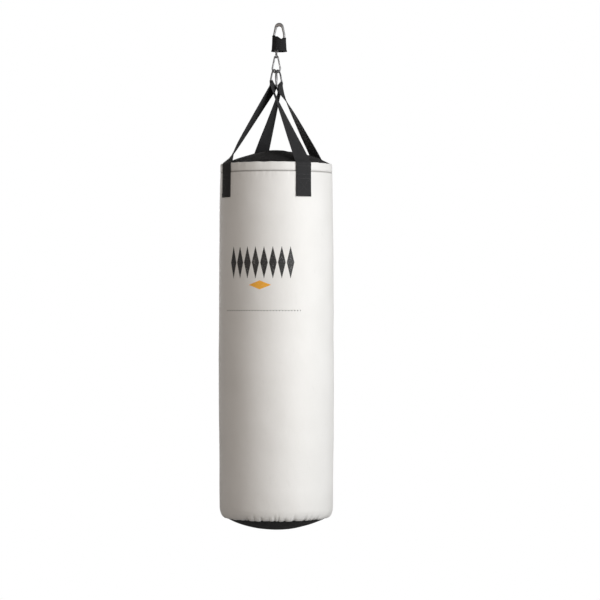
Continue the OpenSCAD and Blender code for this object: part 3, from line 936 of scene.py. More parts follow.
def ring_on(shape, radius, z, out=0.0, down=0.0):
    """A closed path round the bag, on a surface given by its shape function."""
    ring = []
    for j in range(301):
        angle = TAU * j / 300
        shaped, height = shape(angle, radius, z)
        ring.append(on_bag(angle, shaped + out, height - down))
    return ring


def hem_shape(angle, radius, z):
    wave = ripple((math.sin(angle), math.cos(angle), 0.4), 9.0)
    pucker = ripple((math.sin(angle) * 3, math.cos(angle) * 3, 1.4), 9.0)
    high = smooth_step((z - (SEAM_Z - 0.004)) / 0.03)
    return radius + (wave * 0.0007 + pucker * 0.0005) * high, z + wave * 0.0012 * high


def make_hem():
    """The turned-over cloth band at the top; it laps down behind the wall."""
    r = HEM_R
    corners = [
        (r - 0.0008, SEAM_Z - 0.0095),
        (r - 0.0004, SEAM_Z + 0.0004),
        (r + 0.0018, SEAM_Z + 0.003),
        (r + 0.0018, TOP_Z - 0.0045),
        (r + 0.0012, TOP_Z),
        (r - 0.0028, TOP_Z),
        (r - 0.0032, TOP_Z - 0.006),
        (r - 0.0030, SEAM_Z - 0.0095),
    ]
    profile = rounded(corners, [0.0004, 0.001, 0.002, 0.006, 0.002, 0.002, 0.003, 0.0004], steps=5)
    hem = lathe("hem_band", profile, CLOTH, columns=300, shape=hem_shape)
    finished(hem, "bag", "rim_hem", slot="coated_cloth")
    ring = ring_on(hem_shape, HEM_R + 0.0018 + 0.0003, SEAM_Z + 0.0058)
    sew("hem_stitches", "bag", [ring], PALE_THREAD, 3.0, 1.2, 0.35)


SEAM_HALF = math.radians(2.5)


def seam_point(z, share, lift):
    """A point on the back seam: share from -1 to 1 across it, and lift off the wall."""
    wobble = ripple((0, 0, z), 14.0, 2.0) * 0.003
    angle = math.pi + SEAM_HALF * share + wobble
    radius, height = wall_shape(angle, wall_radius(z), z)
    return on_bag(angle, radius + lift, height)


def make_back_seam():
    """The lapped seam that closes the wall, at the back, with two rows of stitches."""
    rows = [float(z) for z in np.linspace(SEAM_Z - 0.002, LOW_Z + CORNER_H + 0.002, 120)]
    edge = [(-1.0, 0.0), (-0.97, 0.75), (-0.9, 1.0), (-0.3, 0.9)]
    across = edge + [(-share, high) for share, high in edge[::-1]]
    points = []
    for z in rows:
        points += [seam_point(z, share, 0.0011 * high + 0.0001) for share, high in across]
        points += [seam_point(z, share, -0.0006) for share, _ in across[::-1][1:-1]]
    faces = capped_faces(len(rows), 2 * len(across) - 2)
    seam = add_mesh("back_seam_strip", points, faces, CLOTH)
    point_outwards(seam, merge=True)
    finished(seam, "bag", "back_seam", slot="coated_cloth")
    paths = [[seam_point(z, share, 0.00135) for z in rows] for share in (-0.72, 0.72)]
    sew("back_seam_stitches", "bag", paths, PALE_THREAD, 3.0, 1.2, 0.35)


TOP_GATHERS = Gathers(seed=3, count=40, width=0.035, reach=0.045, depth=0.0024)
LOW_CAP_GATHERS = Gathers(seed=5, count=44, width=0.034, reach=0.04, depth=0.0022)
CAP_T = 1.6 * MM


def off_the_zip(point):
    """0 under the zip's tape, where the cap is flat and stiff, and 1 away from it."""
    along = abs(point.x - AXIS_X) - DOME_R * math.sin(math.radians(ZIP_ARC + 1.5))
    across = abs(point.y - ZIP_Y) - TAPE_HALF - 1.5 * MM
    return smooth_step(max(along, across) / 0.014)


def top_shape(angle, radius, z):
    edge = max(0.0, DOME_EDGE - radius)
    point = on_bag(angle, radius, z)
    part = radius / DOME_EDGE
    free = smooth_step(edge / 0.03) * off_the_zip(point)
    z += (ripple(point, 11.0, 5.0) * 0.0018 + ripple(point, 30.0, 8.0) * 0.0005 + 0.0004) * free
    z -= TOP_GATHERS.depth(angle, edge) * part
    return radius, z


def dome_profile(edge, radius, centre, sign, steps=34):
    """Points from the apex of a dome to its edge."""
    full = math.asin(edge / radius)
    return [
        (radius * math.sin(full * i / steps), centre + sign * radius * math.cos(full * i / steps))
        for i in range(steps + 1)
    ]


def finish_cap(cap, node):
    """Gives a settled cap its thickness and hands it over."""
    modified(cap, "SUBSURF", levels=1, render_levels=1)
    modified(cap, "SOLIDIFY", thickness=CAP_T, offset=-1)
    finished(cap, "bag", node, slot="cap_cloth")


def make_top_cap():
    profile = dome_profile(DOME_EDGE, DOME_R, DOME_Z, 1)
    skirt_r = DOME_EDGE + 0.0003
    profile += [(skirt_r, TOP_Z - 0.004), (skirt_r, TOP_Z - 0.014), (DOME_EDGE, TOP_Z - 0.026)]
    cap = lathe("top_cloth", profile, CAP_CLOTH, columns=180, closed=False, shape=top_shape)

    def held(point):
        from_axis = math.hypot(point.x - AXIS_X, point.y)
        return from_axis > DOME_EDGE - 2 * MM or off_the_zip(point) < 0.3

    settle(cap, held, limit=4 * MM, ease=0.012)
    finish_cap(cap, "top_cap")


LOW_CAP_R = 149.7 * MM
LOW_DROP = LOW_Z - CAP_LOW
LOW_DOME_R = (LOW_CAP_R**2 + LOW_DROP**2) / (2 * LOW_DROP)
LOW_DOME_Z = CAP_LOW + LOW_DOME_R


def low_shape(angle, radius, z):
    edge = max(0.0, LOW_CAP_R - radius)
    point = on_bag(angle, radius, z)
    z += (ripple(point, 12.0, 1.0) * 0.0016 + ripple(point, 32.0, 2.0) * 0.0004) * smooth_step(edge / 0.03)
    z += LOW_CAP_GATHERS.depth(angle, edge) * radius / LOW_CAP_R
    return radius, z


def make_bottom_cap():
    profile = dome_profile(LOW_CAP_R, LOW_DOME_R, LOW_DOME_Z, -1)
    profile += [(LOW_CAP_R + 0.0002, LOW_Z + 0.006), (LOW_CAP_R, LOW_Z + 0.023)]
    cap = lathe("bottom_cloth", profile, LOW_CLOTH, columns=180, closed=False, shape=low_shape)

    def held(point):
        return math.hypot(point.x - AXIS_X, point.y) > LOW_CAP_R - 2 * MM

    settle(cap, held, limit=2 * MM, ease=0.012)
    finish_cap(cap, "bottom_cap")
    stitch_z = LOW_Z + 0.0052
    ring = ring_on(wall_shape, wall_radius(stitch_z), stitch_z, out=0.00005, down=0.0002)
    sew("lower_edge_stitches", "bag", [ring], PALE_THREAD, 3.0, 1.3, 0.35)


make_wall()
make_hem()
make_back_seam()
make_top_cap()
make_bottom_cap()

# ---- D-rings ----

RING_FRAME = Matrix.Rotation(RING_SPLAY, 4, "Y") @ Matrix.Rotation(-RING_TILT, 4, "X")
RING_PIVOT = Vector((-RING_X, 0, SWING_Z))
TO_REAR = Matrix.Rotation(math.pi, 4, "Z")
TO_AXIS = Matrix.Translation((AXIS_X, 0, 0))
WELD_AT = 0.6124074  # share of the way round: where the wire's ends meet, by a lower corner
HALVES = {"front": TO_AXIS, "rear": TO_AXIS @ TO_REAR}


def ring_path():
    """Centre line of a D-ring in its own frame: a round top, straight sides and a bar with bent corners."""
    bend = 4.0 * MM
    shoulder = RING_RISE - BAR_HALF
    across, up = Vector((0, 1, 0)), Vector((0, 0, 1))
    path = arc(Vector((0, 0, shoulder)), BAR_HALF, 0, 180, 57, across, up)
    low_left = Vector((0, -BAR_HALF + bend, -RING_DROP + bend))
    low_right = Vector((0, BAR_HALF - bend, -RING_DROP + bend))
    path += between(path[-1], low_left - across * bend, 9)
    path += arc(low_left, bend, 180, 270, 9, across, up)
    path += between(path[-1], low_right - up * bend, 15)
    path += arc(low_right, bend, 270, 360, 9, across, up)
    path += between(path[-1], path[0], 9)
    return path


def make_d_ring(half):
    frame_of_ring = Matrix.Translation(RING_PIVOT) @ RING_FRAME
    place = HALVES[half] @ frame_of_ring
    path = ring_path()

    def wire(t):
        return WIRE * (1 + 0.1 * math.exp(-(((t - WELD_AT) / 0.012) ** 2)))

    route = [place @ p for p in path]
    ring = tube("d_ring_" + half + "_wire", route, wire, PLATED, sides=24, closed=True)
    finished(ring, "bag", "d_ring_" + half, slot="plated_wire")


make_d_ring("front")
make_d_ring("rear")

# ---- webbing ----

BAR_MID = RING_PIVOT + RING_FRAME @ Vector((0, 0, -RING_DROP))
BAR_DIR = (RING_FRAME @ Vector((0, -1, 0))).normalized()
RING_OUT = (RING_FRAME @ Vector((1, 0, 0))).normalized()
RING_DOWN = (RING_FRAME @ Vector((0, 0, -1))).normalized()
CAD_WEB_T = 2.5 * MM
LOOP_R = WIRE + 0.15 * MM + CAD_WEB_T / 2
TACK_X = CAD_WEB_T / 2 + 0.1 * MM
WEB_RADIUS = wall_radius(SEAM_Z) + 0.1 * MM + CAD_WEB_T / 2


class Station:
    """A place along a strap: its middle, the way its width runs and how far it follows the wall's curve."""

    def __init__(self, middle, width, curl):
        self.middle, self.width, self.curl = middle, width, curl

    def mix(self, other, t):
        return Station(
            self.middle.lerp(other.middle, t),
            self.width.lerp(other.width, t),
            self.curl * (1 - t) + other.curl * t,
        )


def on_wall(angle, z, out):
    """A station on the wall, or off it by out."""
    radius = WEB_RADIUS + out
    width = Vector((math.cos(angle), math.sin(angle), 0)) * (1 if angle < 0 else -1)
    return Station(Vector((radius * math.sin(angle), -radius * math.cos(angle), z)), width, 1.0)


def leg_stations(side, angle, even, power):
    """From the tack down to the rim, and down the wall."""
    start = BAR_MID + RING_DOWN * TACK + RING_OUT * side * TACK_X
    rim = on_wall(angle, TOP_Z + RIM_RISE, -RIM_IN)
    steps = 10
    stations = []
    for i in range(1, steps + 1):
        t = i / steps
        width = BAR_DIR.lerp(rim.width, even * t + (1 - even) * t**power).normalized()
        stations.append(Station(start.lerp(rim.middle, t), width, t**6))
    drops = [(1 * MM, 1.2), (12 * MM, 0.6), (TOP_Z - SEAM_Z, 0.2), (SEWN_H / 2, 0.6), (SEWN_H, 1.0)]
    return stations + [on_wall(angle, TOP_Z - drop, out * MM) for drop, out in drops]


def tack_stations(side):
    """Where the two legs lie together below the bar."""
    places = [(TACK, TACK_X), (12 * MM, TACK_X), (7 * MM, 2.2 * MM), (3 * MM, 3.5 * MM)]
    return [
        Station(BAR_MID + RING_DOWN * down + RING_OUT * side * out, BAR_DIR, 0.0) for down, out in places
    ]


def loop_stations():
    """Half a turn over the ring's bar."""
    turn = arc(BAR_MID, LOOP_R, 0, 180, 10, -RING_OUT, -RING_DOWN)
    return [Station(middle, BAR_DIR, 0.0) for middle in turn]


def cut_corners(stations, rounds=3):
    """Smooths a line of stations and keeps its ends."""
    for _ in range(rounds):
        smoothed = [stations[0]]
        for a, b in zip(stations, stations[1:]):
            smoothed += [a.mix(b, 0.25), a.mix(b, 0.75)]
        stations = smoothed + [stations[-1]]
    return stations


class Strap:
    """One strap, wall to ring to wall, as a surface that stitches and cloth are laid on."""

    def __init__(self, half):
        angle = STRAP_ANGLES[half]
        self.half = half
        self.place = HALVES[half]
        twist = TWISTS[half]
        line = leg_stations(-1, -angle, *twist[-1])[::-1] + tack_stations(-1) + loop_stations()
        line += tack_stations(1)[::-1] + leg_stations(1, angle, *twist[1])
        line = cut_corners(line)
        at = [0.0]
        for a, b in zip(line, line[1:]):
            at.append(at[-1] + (b.middle - a.middle).length)
        self.length = at[-1]
        count = int(self.length / (2.0 * MM))
        self.stations = []
        k = 0
        for i in range(count + 1):
            s = self.length * i / count
            while k < len(at) - 2 and at[k + 1] < s:
                k += 1
            t = (s - at[k]) / max(1e-9, at[k + 1] - at[k])
            self.stations.append(line[k].mix(line[k + 1], min(1, max(0, t))))
        self.step = self.length / count
        self.normals = []
        for i, station in enumerate(self.stations):
            ahead = self.stations[min(i + 1, count)].middle - self.stations[max(i - 1, 0)].middle
            self.normals.append(station.width.normalized().cross(ahead.normalized()).normalized())
        if self.normals[0].dot(Vector((self.stations[0].middle.x, self.stations[0].middle.y, 0))) < 0:
            self.normals = [-n for n in self.normals]

    def at(self, s, across, height):
        """A point s along the strap, across its width and off its middle surface; outwards is plus."""
        i = min(len(self.stations) - 2, max(0, int(s / self.step)))
        t = s / self.step - i
        station = self.stations[i].mix(self.stations[i + 1], t)
        normal = self.normals[i].lerp(self.normals[i + 1], t).normalized()
        point = station.middle + station.width.normalized() * across + normal * height
        flat = Vector((station.middle.x, station.middle.y, 0))
        if flat.length > 1e-6:
            point -= flat.normalized() * station.curl * across**2 / (2 * WEB_RADIUS)
        wave = ripple((s, across * 0.6, 0.2), 16.0, 4.0 if self.half == "front" else 9.0) * 0.0005
        return self.place @ (point + normal * wave)

    def thickness(self, s):
        """The webbing is folded under at its two ends."""
        end = min(s, self.length - s)
        return WEB_T * (1 + 0.45 * smooth_step((13 * MM - end) / (3 * MM)))


def web_section():
    """(share of the width, share of the thickness) round the webbing, selvages rounded."""
    top = [(-0.985, 0.72), (-0.965, 1.0), (-0.93, 0.93)]
    top += [(u, 1.0) for u in np.linspace(-0.88, 0.88, 9)]
    top += [(0.93, 0.93), (0.965, 1.0), (0.985, 0.72)]
    return [(-1.0, 0.0)] + top + [(1.0, 0.0)] + [(u, -h) for u, h in top[::-1]]


def make_strap(half):
    strap = Strap(half)
    section = web_section()
    points = []
    uvs = []
    rows = len(strap.stations)
    for i in range(rows):
        s = i * strap.step
        thick = strap.thickness(s)
        for u, h in section:
            lift = h * WEB_T / 2 if h < 0 else h * (thick - WEB_T / 2)
            points.append(strap.at(s, u * WEB_W / 2, lift))
            uvs.append((u / 2 + 0.5, s))
    webbing = add_mesh("webbing_" + half, points, capped_faces(rows, len(section)), WEBBING, uvs)
    point_outwards(webbing)
    finished(webbing, "bag", "strap_" + half, slot="webbing")
    make_strap_stitches(strap)


def make_strap_stitches(strap):
    """A sewn box with a cross on each wall patch, two rows at the rim, and rows across the tack."""
    paths = []
    lift = WEB_T / 2 + 0.15 * MM
    half_w = WEB_W / 2 - 4.5 * MM

    def line(a, b, height):
        steps = [i / 20 for i in range(21)]
        return [strap.at(a[0] + (b[0] - a[0]) * t, a[1] + (b[1] - a[1]) * t, height) for t in steps]

    for end in (0, 1):

        def down(distance):
            return distance if end == 0 else strap.length - distance

        low, high = 6 * MM, 52 * MM
        corners = [(low, -half_w), (low, half_w), (high, half_w), (high, -half_w)]
        pairs = list(zip(corners, corners[1:] + corners[:1]))
        pairs += [(corners[0], corners[2]), (corners[1], corners[3])]
        for a, b in pairs:
            fold = 0.5 * MM if a[0] == b[0] == low else 0
            paths.append(line((down(a[0]), a[1]), (down(b[0]), b[1]), lift + fold))
        for distance in (64 * MM, 88 * MM):
            paths.append(line((down(distance), -half_w), (down(distance), half_w), lift))
        paths.append(line((down(high), half_w), (down(90 * MM), half_w), lift))
        paths.append(line((down(high), -half_w), (down(90 * MM), -half_w), lift))
    sew("stitches_" + strap.half, "bag", paths, DARK_THREAD, 3.4, 1.0, 0.4)
    middle = strap.length / 2
    turn = math.pi * LOOP_R / 2
    tack = []
    for side in (-1, 1):
        for distance in (11 * MM, 15 * MM):
            s = middle + side * (turn + distance)
            tack.append(line((s, -half_w), (s, half_w), lift))
    sew("tack_stitches_" + strap.half, "bag", tack, DARK_THREAD, 3.0, 0.9, 0.4)


make_strap("front")
make_strap("rear")

# ---- bow, pin and sleeve ----

CROWN_R = 14 * MM
CROWN_T = 11 * MM
HOLE_R = CROWN_R - 6 * MM
BOW_HALF = 18.6 * MM
BOW_LEG = 6.5 * MM
LUG_IN = 12 * MM
LUG_OUT = 16.5 * MM
LUG_R = 7.5 * MM
PIN_R = 4 * MM
BORE_R = PIN_R + 0.05 * MM
ALONG_X = Matrix.Rotation(math.pi / 2, 4, "Y")
ALONG_Y = Matrix.Rotation(math.pi / 2, 4, "X")


def touch_angle(centre_z, radius, x, z):
    """Angle at which a line from (x, z) touches the circle, in degrees."""
    reach = math.hypot(x, z - centre_z)
    return math.degrees(math.atan2(z - centre_z, x) + math.acos(radius / reach))


def bow_edge(centre_z, radius, half, foot, low_z):
    """Points down the right side of the bow's outer or inner edge, from the crown."""
    last = touch_angle(centre_z, radius, half, -24 * MM)
    edge = arc(Vector((0, 0, centre_z)), radius, 90, last, 15)
    shoulder = Vector((half, 0, -24 * MM))
    edge += between(edge[-1], shoulder, 5) + [shoulder]
    edge += [Vector((half, 0, -29 * MM)), Vector((half, 0, -34 * MM))]
    knee = Vector((foot, 0, -41 * MM))
    return edge + between(edge[-1], knee, 2) + [knee, Vector((foot, 0, low_z))]


def plate_profile(bore, radius, half, inner_round, outer_round):
    """The section of a round plate with a bore through it."""
    corners = [(bore, -half), (radius, -half), (radius, half), (bore, half)]
    return rounded(corners, [inner_round, outer_round, outer_round, inner_round])


def make_bow():
    """Forged bow: a heavy crown, two legs and two lugs, blended into one piece."""
    outer = bow_edge(CROWN_T - CROWN_R, CROWN_R, BOW_HALF, LUG_OUT - 0.3 * MM, PIN_Z)
    inner = bow_edge(-HOLE_R, HOLE_R, BOW_HALF - BOW_LEG, LUG_IN + 0.3 * MM, PIN_Z)
    half = list(zip(outer, inner))
    pairs = [(Vector((-a.x, 0, a.z)), Vector((-b.x, 0, b.z))) for a, b in half[:0:-1]] + half
    up = Vector((0, 3.6 * MM, 0))
    stations = [((a + b) / 2, (a - b) / 2, up) for a, b in pairs]
    parts = [loft("bow", stations, oval_section(28, 2.5), FORGED)]
    profile = plate_profile(BORE_R, LUG_R, (LUG_OUT - LUG_IN) / 2, 0.3 * MM, 1.1 * MM)
    for side in (-1, 1):
        centre = (side * (LUG_IN + LUG_OUT) / 2, 0, PIN_Z)
        parts.append(lathe("lug", profile, FORGED, columns=56, at=centre, turn=ALONG_X))
    bow = join("forged_bow", parts)
    modified(bow, "REMESH", mode="VOXEL", voxel_size=0.42 * MM, use_smooth_shade=True)
    modified(bow, "SMOOTH", factor=0.5, iterations=4)
    finished(bow, "bow", "shackle_bow", slot="forged_steel")


def make_pin():
    """The pin through the lugs, with a domed head."""
    head_x = -LUG_OUT - 2.2 * MM
    profile = rounded(
        [
            (0, head_x),
            (5.0 * MM, head_x + 0.3 * MM),
            (5.5 * MM, head_x + 1.1 * MM),
            (5.5 * MM, -LUG_OUT - 0.1 * MM),
            (PIN_R, -LUG_OUT - 0.1 * MM),
            (PIN_R, LUG_OUT + 1.7 * MM),
            (PIN_R - 0.6 * MM, LUG_OUT + 2.2 * MM),
            (0, LUG_OUT + 2.2 * MM),
        ],
        0.35 * MM,
        closed=False,
    )
    pin = lathe("pin", profile, FORGED, columns=48, at=(0, 0, PIN_Z), turn=ALONG_X, closed=False)
    finished(pin, "bow", "cross_pin", slot="forged_steel")
    low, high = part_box("pin_nut")
    corner = max(high.y - low.y, high.z - low.z) / 2
    chamfer = corner * 0.87
    section = [(BORE_R, 0), (chamfer, 0), (corner, 0.5 * MM)]
    section += [(corner, 1.7 * MM), (chamfer, 2.1 * MM), (BORE_R, 2.1 * MM)]

    def hexagon(angle, radius, z):
        flat = math.cos(math.pi / 6) / math.cos((angle + math.pi / 6) % (math.pi / 3) - math.pi / 6)
        return (min(radius, corner * flat) if radius > PIN_R * 1.02 else radius), z

    nut = lathe("nut", section, BRIGHT, columns=72, at=(low.x, 0, PIN_Z), turn=ALONG_X, shape=hexagon)
    finished(nut, "bow", "pin_nut", slot="bright_steel")


SLEEVE_LOW, SLEEVE_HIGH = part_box("sleeve")
SLEEVE_R1 = 19.9 * MM
SLEEVE_R2 = 22.5 * MM


def sleeve_edge(x):
    """Height of the sleeve's top edge: a peak on the left and a shallow V on the right."""
    left, notch, right = (-11 * MM, -26.5 * MM), (8 * MM, -39.5 * MM), (19 * MM, -33.5 * MM)
    if x < left[0]:
        return left[1] + (x - left[0]) * 0.12
    if x < notch[0]:
        t = (x - left[0]) / (notch[0] - left[0])
        return left[1] + (notch[1] - left[1]) * (0.75 * t + 0.25 * smooth_step(t))
    t = min(1, (x - notch[0]) / (right[0] - notch[0]))
    return notch[1] + (right[1] - notch[1]) * smooth_step(t)


def sleeve_point(turn, down, off):
    """A point on the wrapped cloth: turn in radians from the front, down from 0 at the top edge to 1."""
    x = 20 * MM * math.sin(turn)
    top = sleeve_edge(x)
    z = top + (SLEEVE_LOW.z - top) * down
    part = (SLEEVE_HIGH.z - z) / (SLEEVE_HIGH.z - SLEEVE_LOW.z)
    radius = SLEEVE_R1 + (SLEEVE_R2 - SLEEVE_R1) * part + 0.9 * MM * smooth_step((part - 0.86) / 0.14)
    creases = ripple((math.sin(turn) * 1.5, math.cos(turn) * 1.5, z * 22), 2.2, 6.0) * 0.55 * MM
    creases += ripple((math.sin(turn) * 6, math.cos(turn) * 6, z * 14), 1.3, 2.0) * 0.3 * MM
    radius += creases + off
    return Vector((radius * math.sin(turn), -radius * math.cos(turn), z))


SLEEVE_FROM = math.radians(-196)
SLEEVE_TURN = math.radians(386)


def lap(share):
    """How far the cloth lies over itself, at a share of the way round it."""
    return 1.3 * MM * smooth_step((share - 0.9) / 0.06)


def make_sleeve():
    """One piece of cloth wrapped round and lapped over itself at the back, with a hem top and bottom."""
    columns, rows = 200, 44
    points = []
    for i in range(rows + 1):
        down = i / rows
        for j in range(columns + 1):
            share = j / columns
            turn = SLEEVE_FROM + SLEEVE_TURN * share
            hem = 0.35 * MM * (smooth_step((0.07 - down) / 0.01) + smooth_step((down - 0.91) / 0.01))
            points.append(sleeve_point(turn, down, lap(share) + hem - 0.5 * MM))
    faces = grid_faces(rows + 1, columns + 1, closed_columns=False)
    sleeve = add_mesh("cloth_sleeve", points, faces, SLEEVE_CLOTH)
    modified(sleeve, "SOLIDIFY", thickness=0.9 * MM, offset=0)
    point_outwards(sleeve)
    finished(sleeve, "bow", "sleeve", slot="sleeve_cloth")
    first, last = SLEEVE_FROM + 0.03, SLEEVE_FROM + SLEEVE_TURN * 0.99
    paths = []
    for down in (0.085, 0.895):
        path = []
        for turn in map(float, np.linspace(first, last, 220)):
            off = 0.15 * MM + lap((turn - SLEEVE_FROM) / SLEEVE_TURN)
            path.append(sleeve_point(turn, down, off))
        paths.append(path)
    sew("sleeve_stitches", "bow", paths, DARK_THREAD, 2.2, 0.8, 0.22)


def make_closure(name, node, off, material):
    """A strip of hook or loop tape on the sleeve's lap."""
    points = []
    rows, columns = 30, 24
    for i in range(rows + 1):
        for j in range(columns + 1):
            turn = math.radians(180 - 20 + 40 * j / columns)
            z = -42 * MM - 27 * MM * i / rows
            top = sleeve_edge(20 * MM * math.sin(turn))
            down = (z - top) / (SLEEVE_LOW.z - top)
            points.append(sleeve_point(turn, down, off))
    strip = add_mesh(name, points, grid_faces(rows + 1, columns + 1, closed_columns=False), material)
    modified(strip, "SOLIDIFY", thickness=0.7 * MM, offset=0)
    point_outwards(strip)
    finished(strip, "bow", node, slot="sleeve_cloth")


make_bow()
make_pin()
make_sleeve()
make_closure("hook_strip", "sleeve_hook_strip", 1.35 * MM, SLEEVE_CLOTH)
make_closure("loop_strip", "sleeve_loop_strip", 2.1 * MM, SLEEVE_CLOTH)

# ---- swivel ----


def make_swivel():
    """The eye on the pin, its neck and the turned body that holds the bearing."""
    outside = in_mm((0, -58.6), (3.2, -58.6), (6.4, -59), (7.5, -60.6), (7.5, -70.4))
    groove = in_mm((6.9, -70.9), (6.9, -71.5), (7.5, -72), (7.2, -73))
    inside = in_mm((3.05, -73), (3.05, -71), (6.1, -71), (6.1, -61), (0, -61))
    body = rounded(outside + groove + inside, 0.4 * MM, closed=False)
    parts = [lathe("swivel_body", body, FORGED, columns=56, closed=False)]
    eye = plate_profile(BORE_R, 8 * MM, 3 * MM, 0.5 * MM, 1.6 * MM)
    parts.append(lathe("eye", eye, FORGED, columns=56, at=(AXIS_X, 0, PIN_Z), turn=ALONG_X))
    neck = rounded(in_mm((0, -60), (4.4, -59.4), (3.1, -58), (3.1, -55), (0, -55)), 0.5 * MM, closed=False)
    parts.append(lathe("neck", neck, FORGED, columns=40, closed=False))
    finished(join("swivel_eye", parts), "swivel", "swivel_housing", slot="forged_steel")


def make_rotor():
    """The headed stem that turns in the bearing, and the ring it carries."""
    head = -71 * MM + 1 * MM + 3 * MM + 0.05 * MM  # above the bearing's floor, washer and balls
    stem = rounded(
        [
            (0, head + 2.9 * MM),
            (5.2 * MM, head + 2.9 * MM),
            (5.2 * MM, head),
            (3 * MM, head),
            (3 * MM, -76.5 * MM),
            (3.4 * MM, -78 * MM),
            (2.4 * MM, -80.6 * MM),
            (0, -81 * MM),
        ],
        0.5 * MM,
        closed=False,
    )
    parts = [lathe("stem", stem, BRIGHT, columns=48, closed=False)]
    centre = Vector((AXIS_X, 0, -86 * MM))
    path = arc(centre, 6 * MM, 0, 360, 73, Vector((0, 1, 0)))[:-1]

    def wire(t):
        return 2 * MM * (1 + 0.12 * math.exp(-(((t - 0.25) / 0.05) ** 2)))

    parts.append(tube("ring", path, wire, BRIGHT, sides=20, closed=True))
    finished(join("swivel_ring", parts), "rotor", "swivel_rotor", slot="bright_steel")


make_swivel()
make_rotor()

# ---- snap hook ----

HOOK_TOP_R = 5.5 * MM
HOOK_LOW_R = 12 * MM
HOOK_LOW_Z = SWING_Z + HOOK_LOW_R
LEAN = math.asin((HOOK_LOW_R - HOOK_TOP_R) / (HOOK_TOP_Z - HOOK_LOW_Z))
ON_SIDE = (
    Matrix.Translation((AXIS_X + HOOK_TOP_R * math.cos(LEAN), 0, HOOK_TOP_Z + HOOK_TOP_R * math.sin(LEAN)))
    @ Matrix.Rotation(-LEAN, 4, "Y")
)
GATE_PIN_S = 8 * MM
GATE_END_S = 28 * MM
GATE_R = 2.3 * MM
TONGUE_T = 1.8 * MM


def down_side(s):
    return ON_SIDE @ Vector((0, 0, -s))


def make_hook():
    """The wire body: from the gate's hinge over the narrow end and round the broad end to the nose."""
    lean = math.degrees(LEAN)
    top = Vector((AXIS_X, 0, HOOK_TOP_Z))
    low = Vector((AXIS_X, 0, HOOK_LOW_Z))
    path = [down_side(5.4 * MM), down_side(3.6 * MM), down_side(1.8 * MM)]
    path += arc(top, HOOK_TOP_R, lean, 180 - lean, 33)
    first = arc(low, HOOK_LOW_R, 180 - lean, 360 + lean, 61)
    path += between(path[-1], first[0], 11) + first
    nose = down_side(GATE_END_S + 0.6 * MM)
    path += between(first[-1], nose, 2) + [nose]
    parts = [tube("wire", path, WIRE, PLATED, sides=26)]
    half = Vector((2.1 * MM, TONGUE_T / 2, 0))
    for low_s, high_s in ((3.5 * MM, GATE_PIN_S + 2 * MM), (25.8 * MM, 30 * MM)):
        corners = -half - Vector((0, 0, high_s)), half - Vector((0, 0, low_s))
        parts.append(block("tongue", *corners, PLATED, ON_SIDE, 0.4 * MM))
    finished(join("hook_wire", parts), "carabiner", "carabiner_body", slot="plated_wire")


def make_gate():
    """The sprung gate: a rod slotted at both ends, with a bore for the spring."""
    profile = rounded(
        [
            (0, -GATE_PIN_S + GATE_R),
            (GATE_R * 0.75, -GATE_PIN_S + GATE_R * 0.8),
            (GATE_R, -GATE_PIN_S),
            (GATE_R, -GATE_END_S + 0.3 * MM),
            (GATE_R - 0.4 * MM, -GATE_END_S),
            (0, -GATE_END_S),
        ],
        0.5 * MM,
        closed=False,
    )
    gate = lathe("hook_gate", profile, BRIGHT, columns=48, at=ORIGIN, closed=False)
    slot_w = TONGUE_T / 2 + 0.1 * MM
    bore = in_mm((0, -21.5), (1.5, -21.5), (1.5, -12.5), (0, -12.5))
    cutters = [
        block("slot", (-5 * MM, -slot_w, -GATE_PIN_S - 3.2 * MM), (5 * MM, slot_w, 5 * MM), BRIGHT),
        block("slot", (-5 * MM, -slot_w, -GATE_END_S - 2 * MM), (5 * MM, slot_w, -24.8 * MM), BRIGHT),
        lathe("bore", bore, BRIGHT, columns=24, at=ORIGIN, closed=False),
    ]
    cut(gate, cutters)
    gate.data.transform(ON_SIDE)
    modified(gate, "BEVEL", width=0.12 * MM, segments=2, limit_method="ANGLE", angle_limit=math.radians(50))
    gate.data.shade_smooth()
    finished(gate, "gate", "carabiner_gate", slot="bright_steel")
    half = in_mm((0, -2.6), (1.1, -2.5), (0.8, -2.2))
    rivet = rounded(half + [(r, -z) for r, z in half[::-1]], 0.12 * MM, closed=False)
    place = down_side(GATE_PIN_S)
    pin = lathe("gate_rivet", rivet, FORGED, columns=32, at=place, turn=ALONG_Y, closed=False)
    finished(pin, "carabiner", "gate_pin", slot="forged_steel")


make_hook()
make_gate()

# ---- zip ----

ZIP_LIE = math.asin(ZIP_Y / DOME_R)
SLIDER_START = math.radians(-15.5)  # where the slider stands when the zip is shut
TAPE_TOP = 0.9 * MM
# Round one tape: (share of its half width, share of its thickness)
TAPE_SECTION = [(0.04, 0), (0.04, 1), (0.35, 1), (0.7, 1), (0.96, 1), (1, 0.5), (0.96, 0), (0.5, 0)]


def on_dome(degrees, y, height):
    """A point above the dome, at an angle along the zip's arc and a distance y from the middle."""
    reach = math.sqrt(DOME_R**2 - y**2) + height
    a = math.radians(degrees)
    return Vector((AXIS_X + reach * math.sin(a), y, DOME_Z + reach * math.cos(a)))


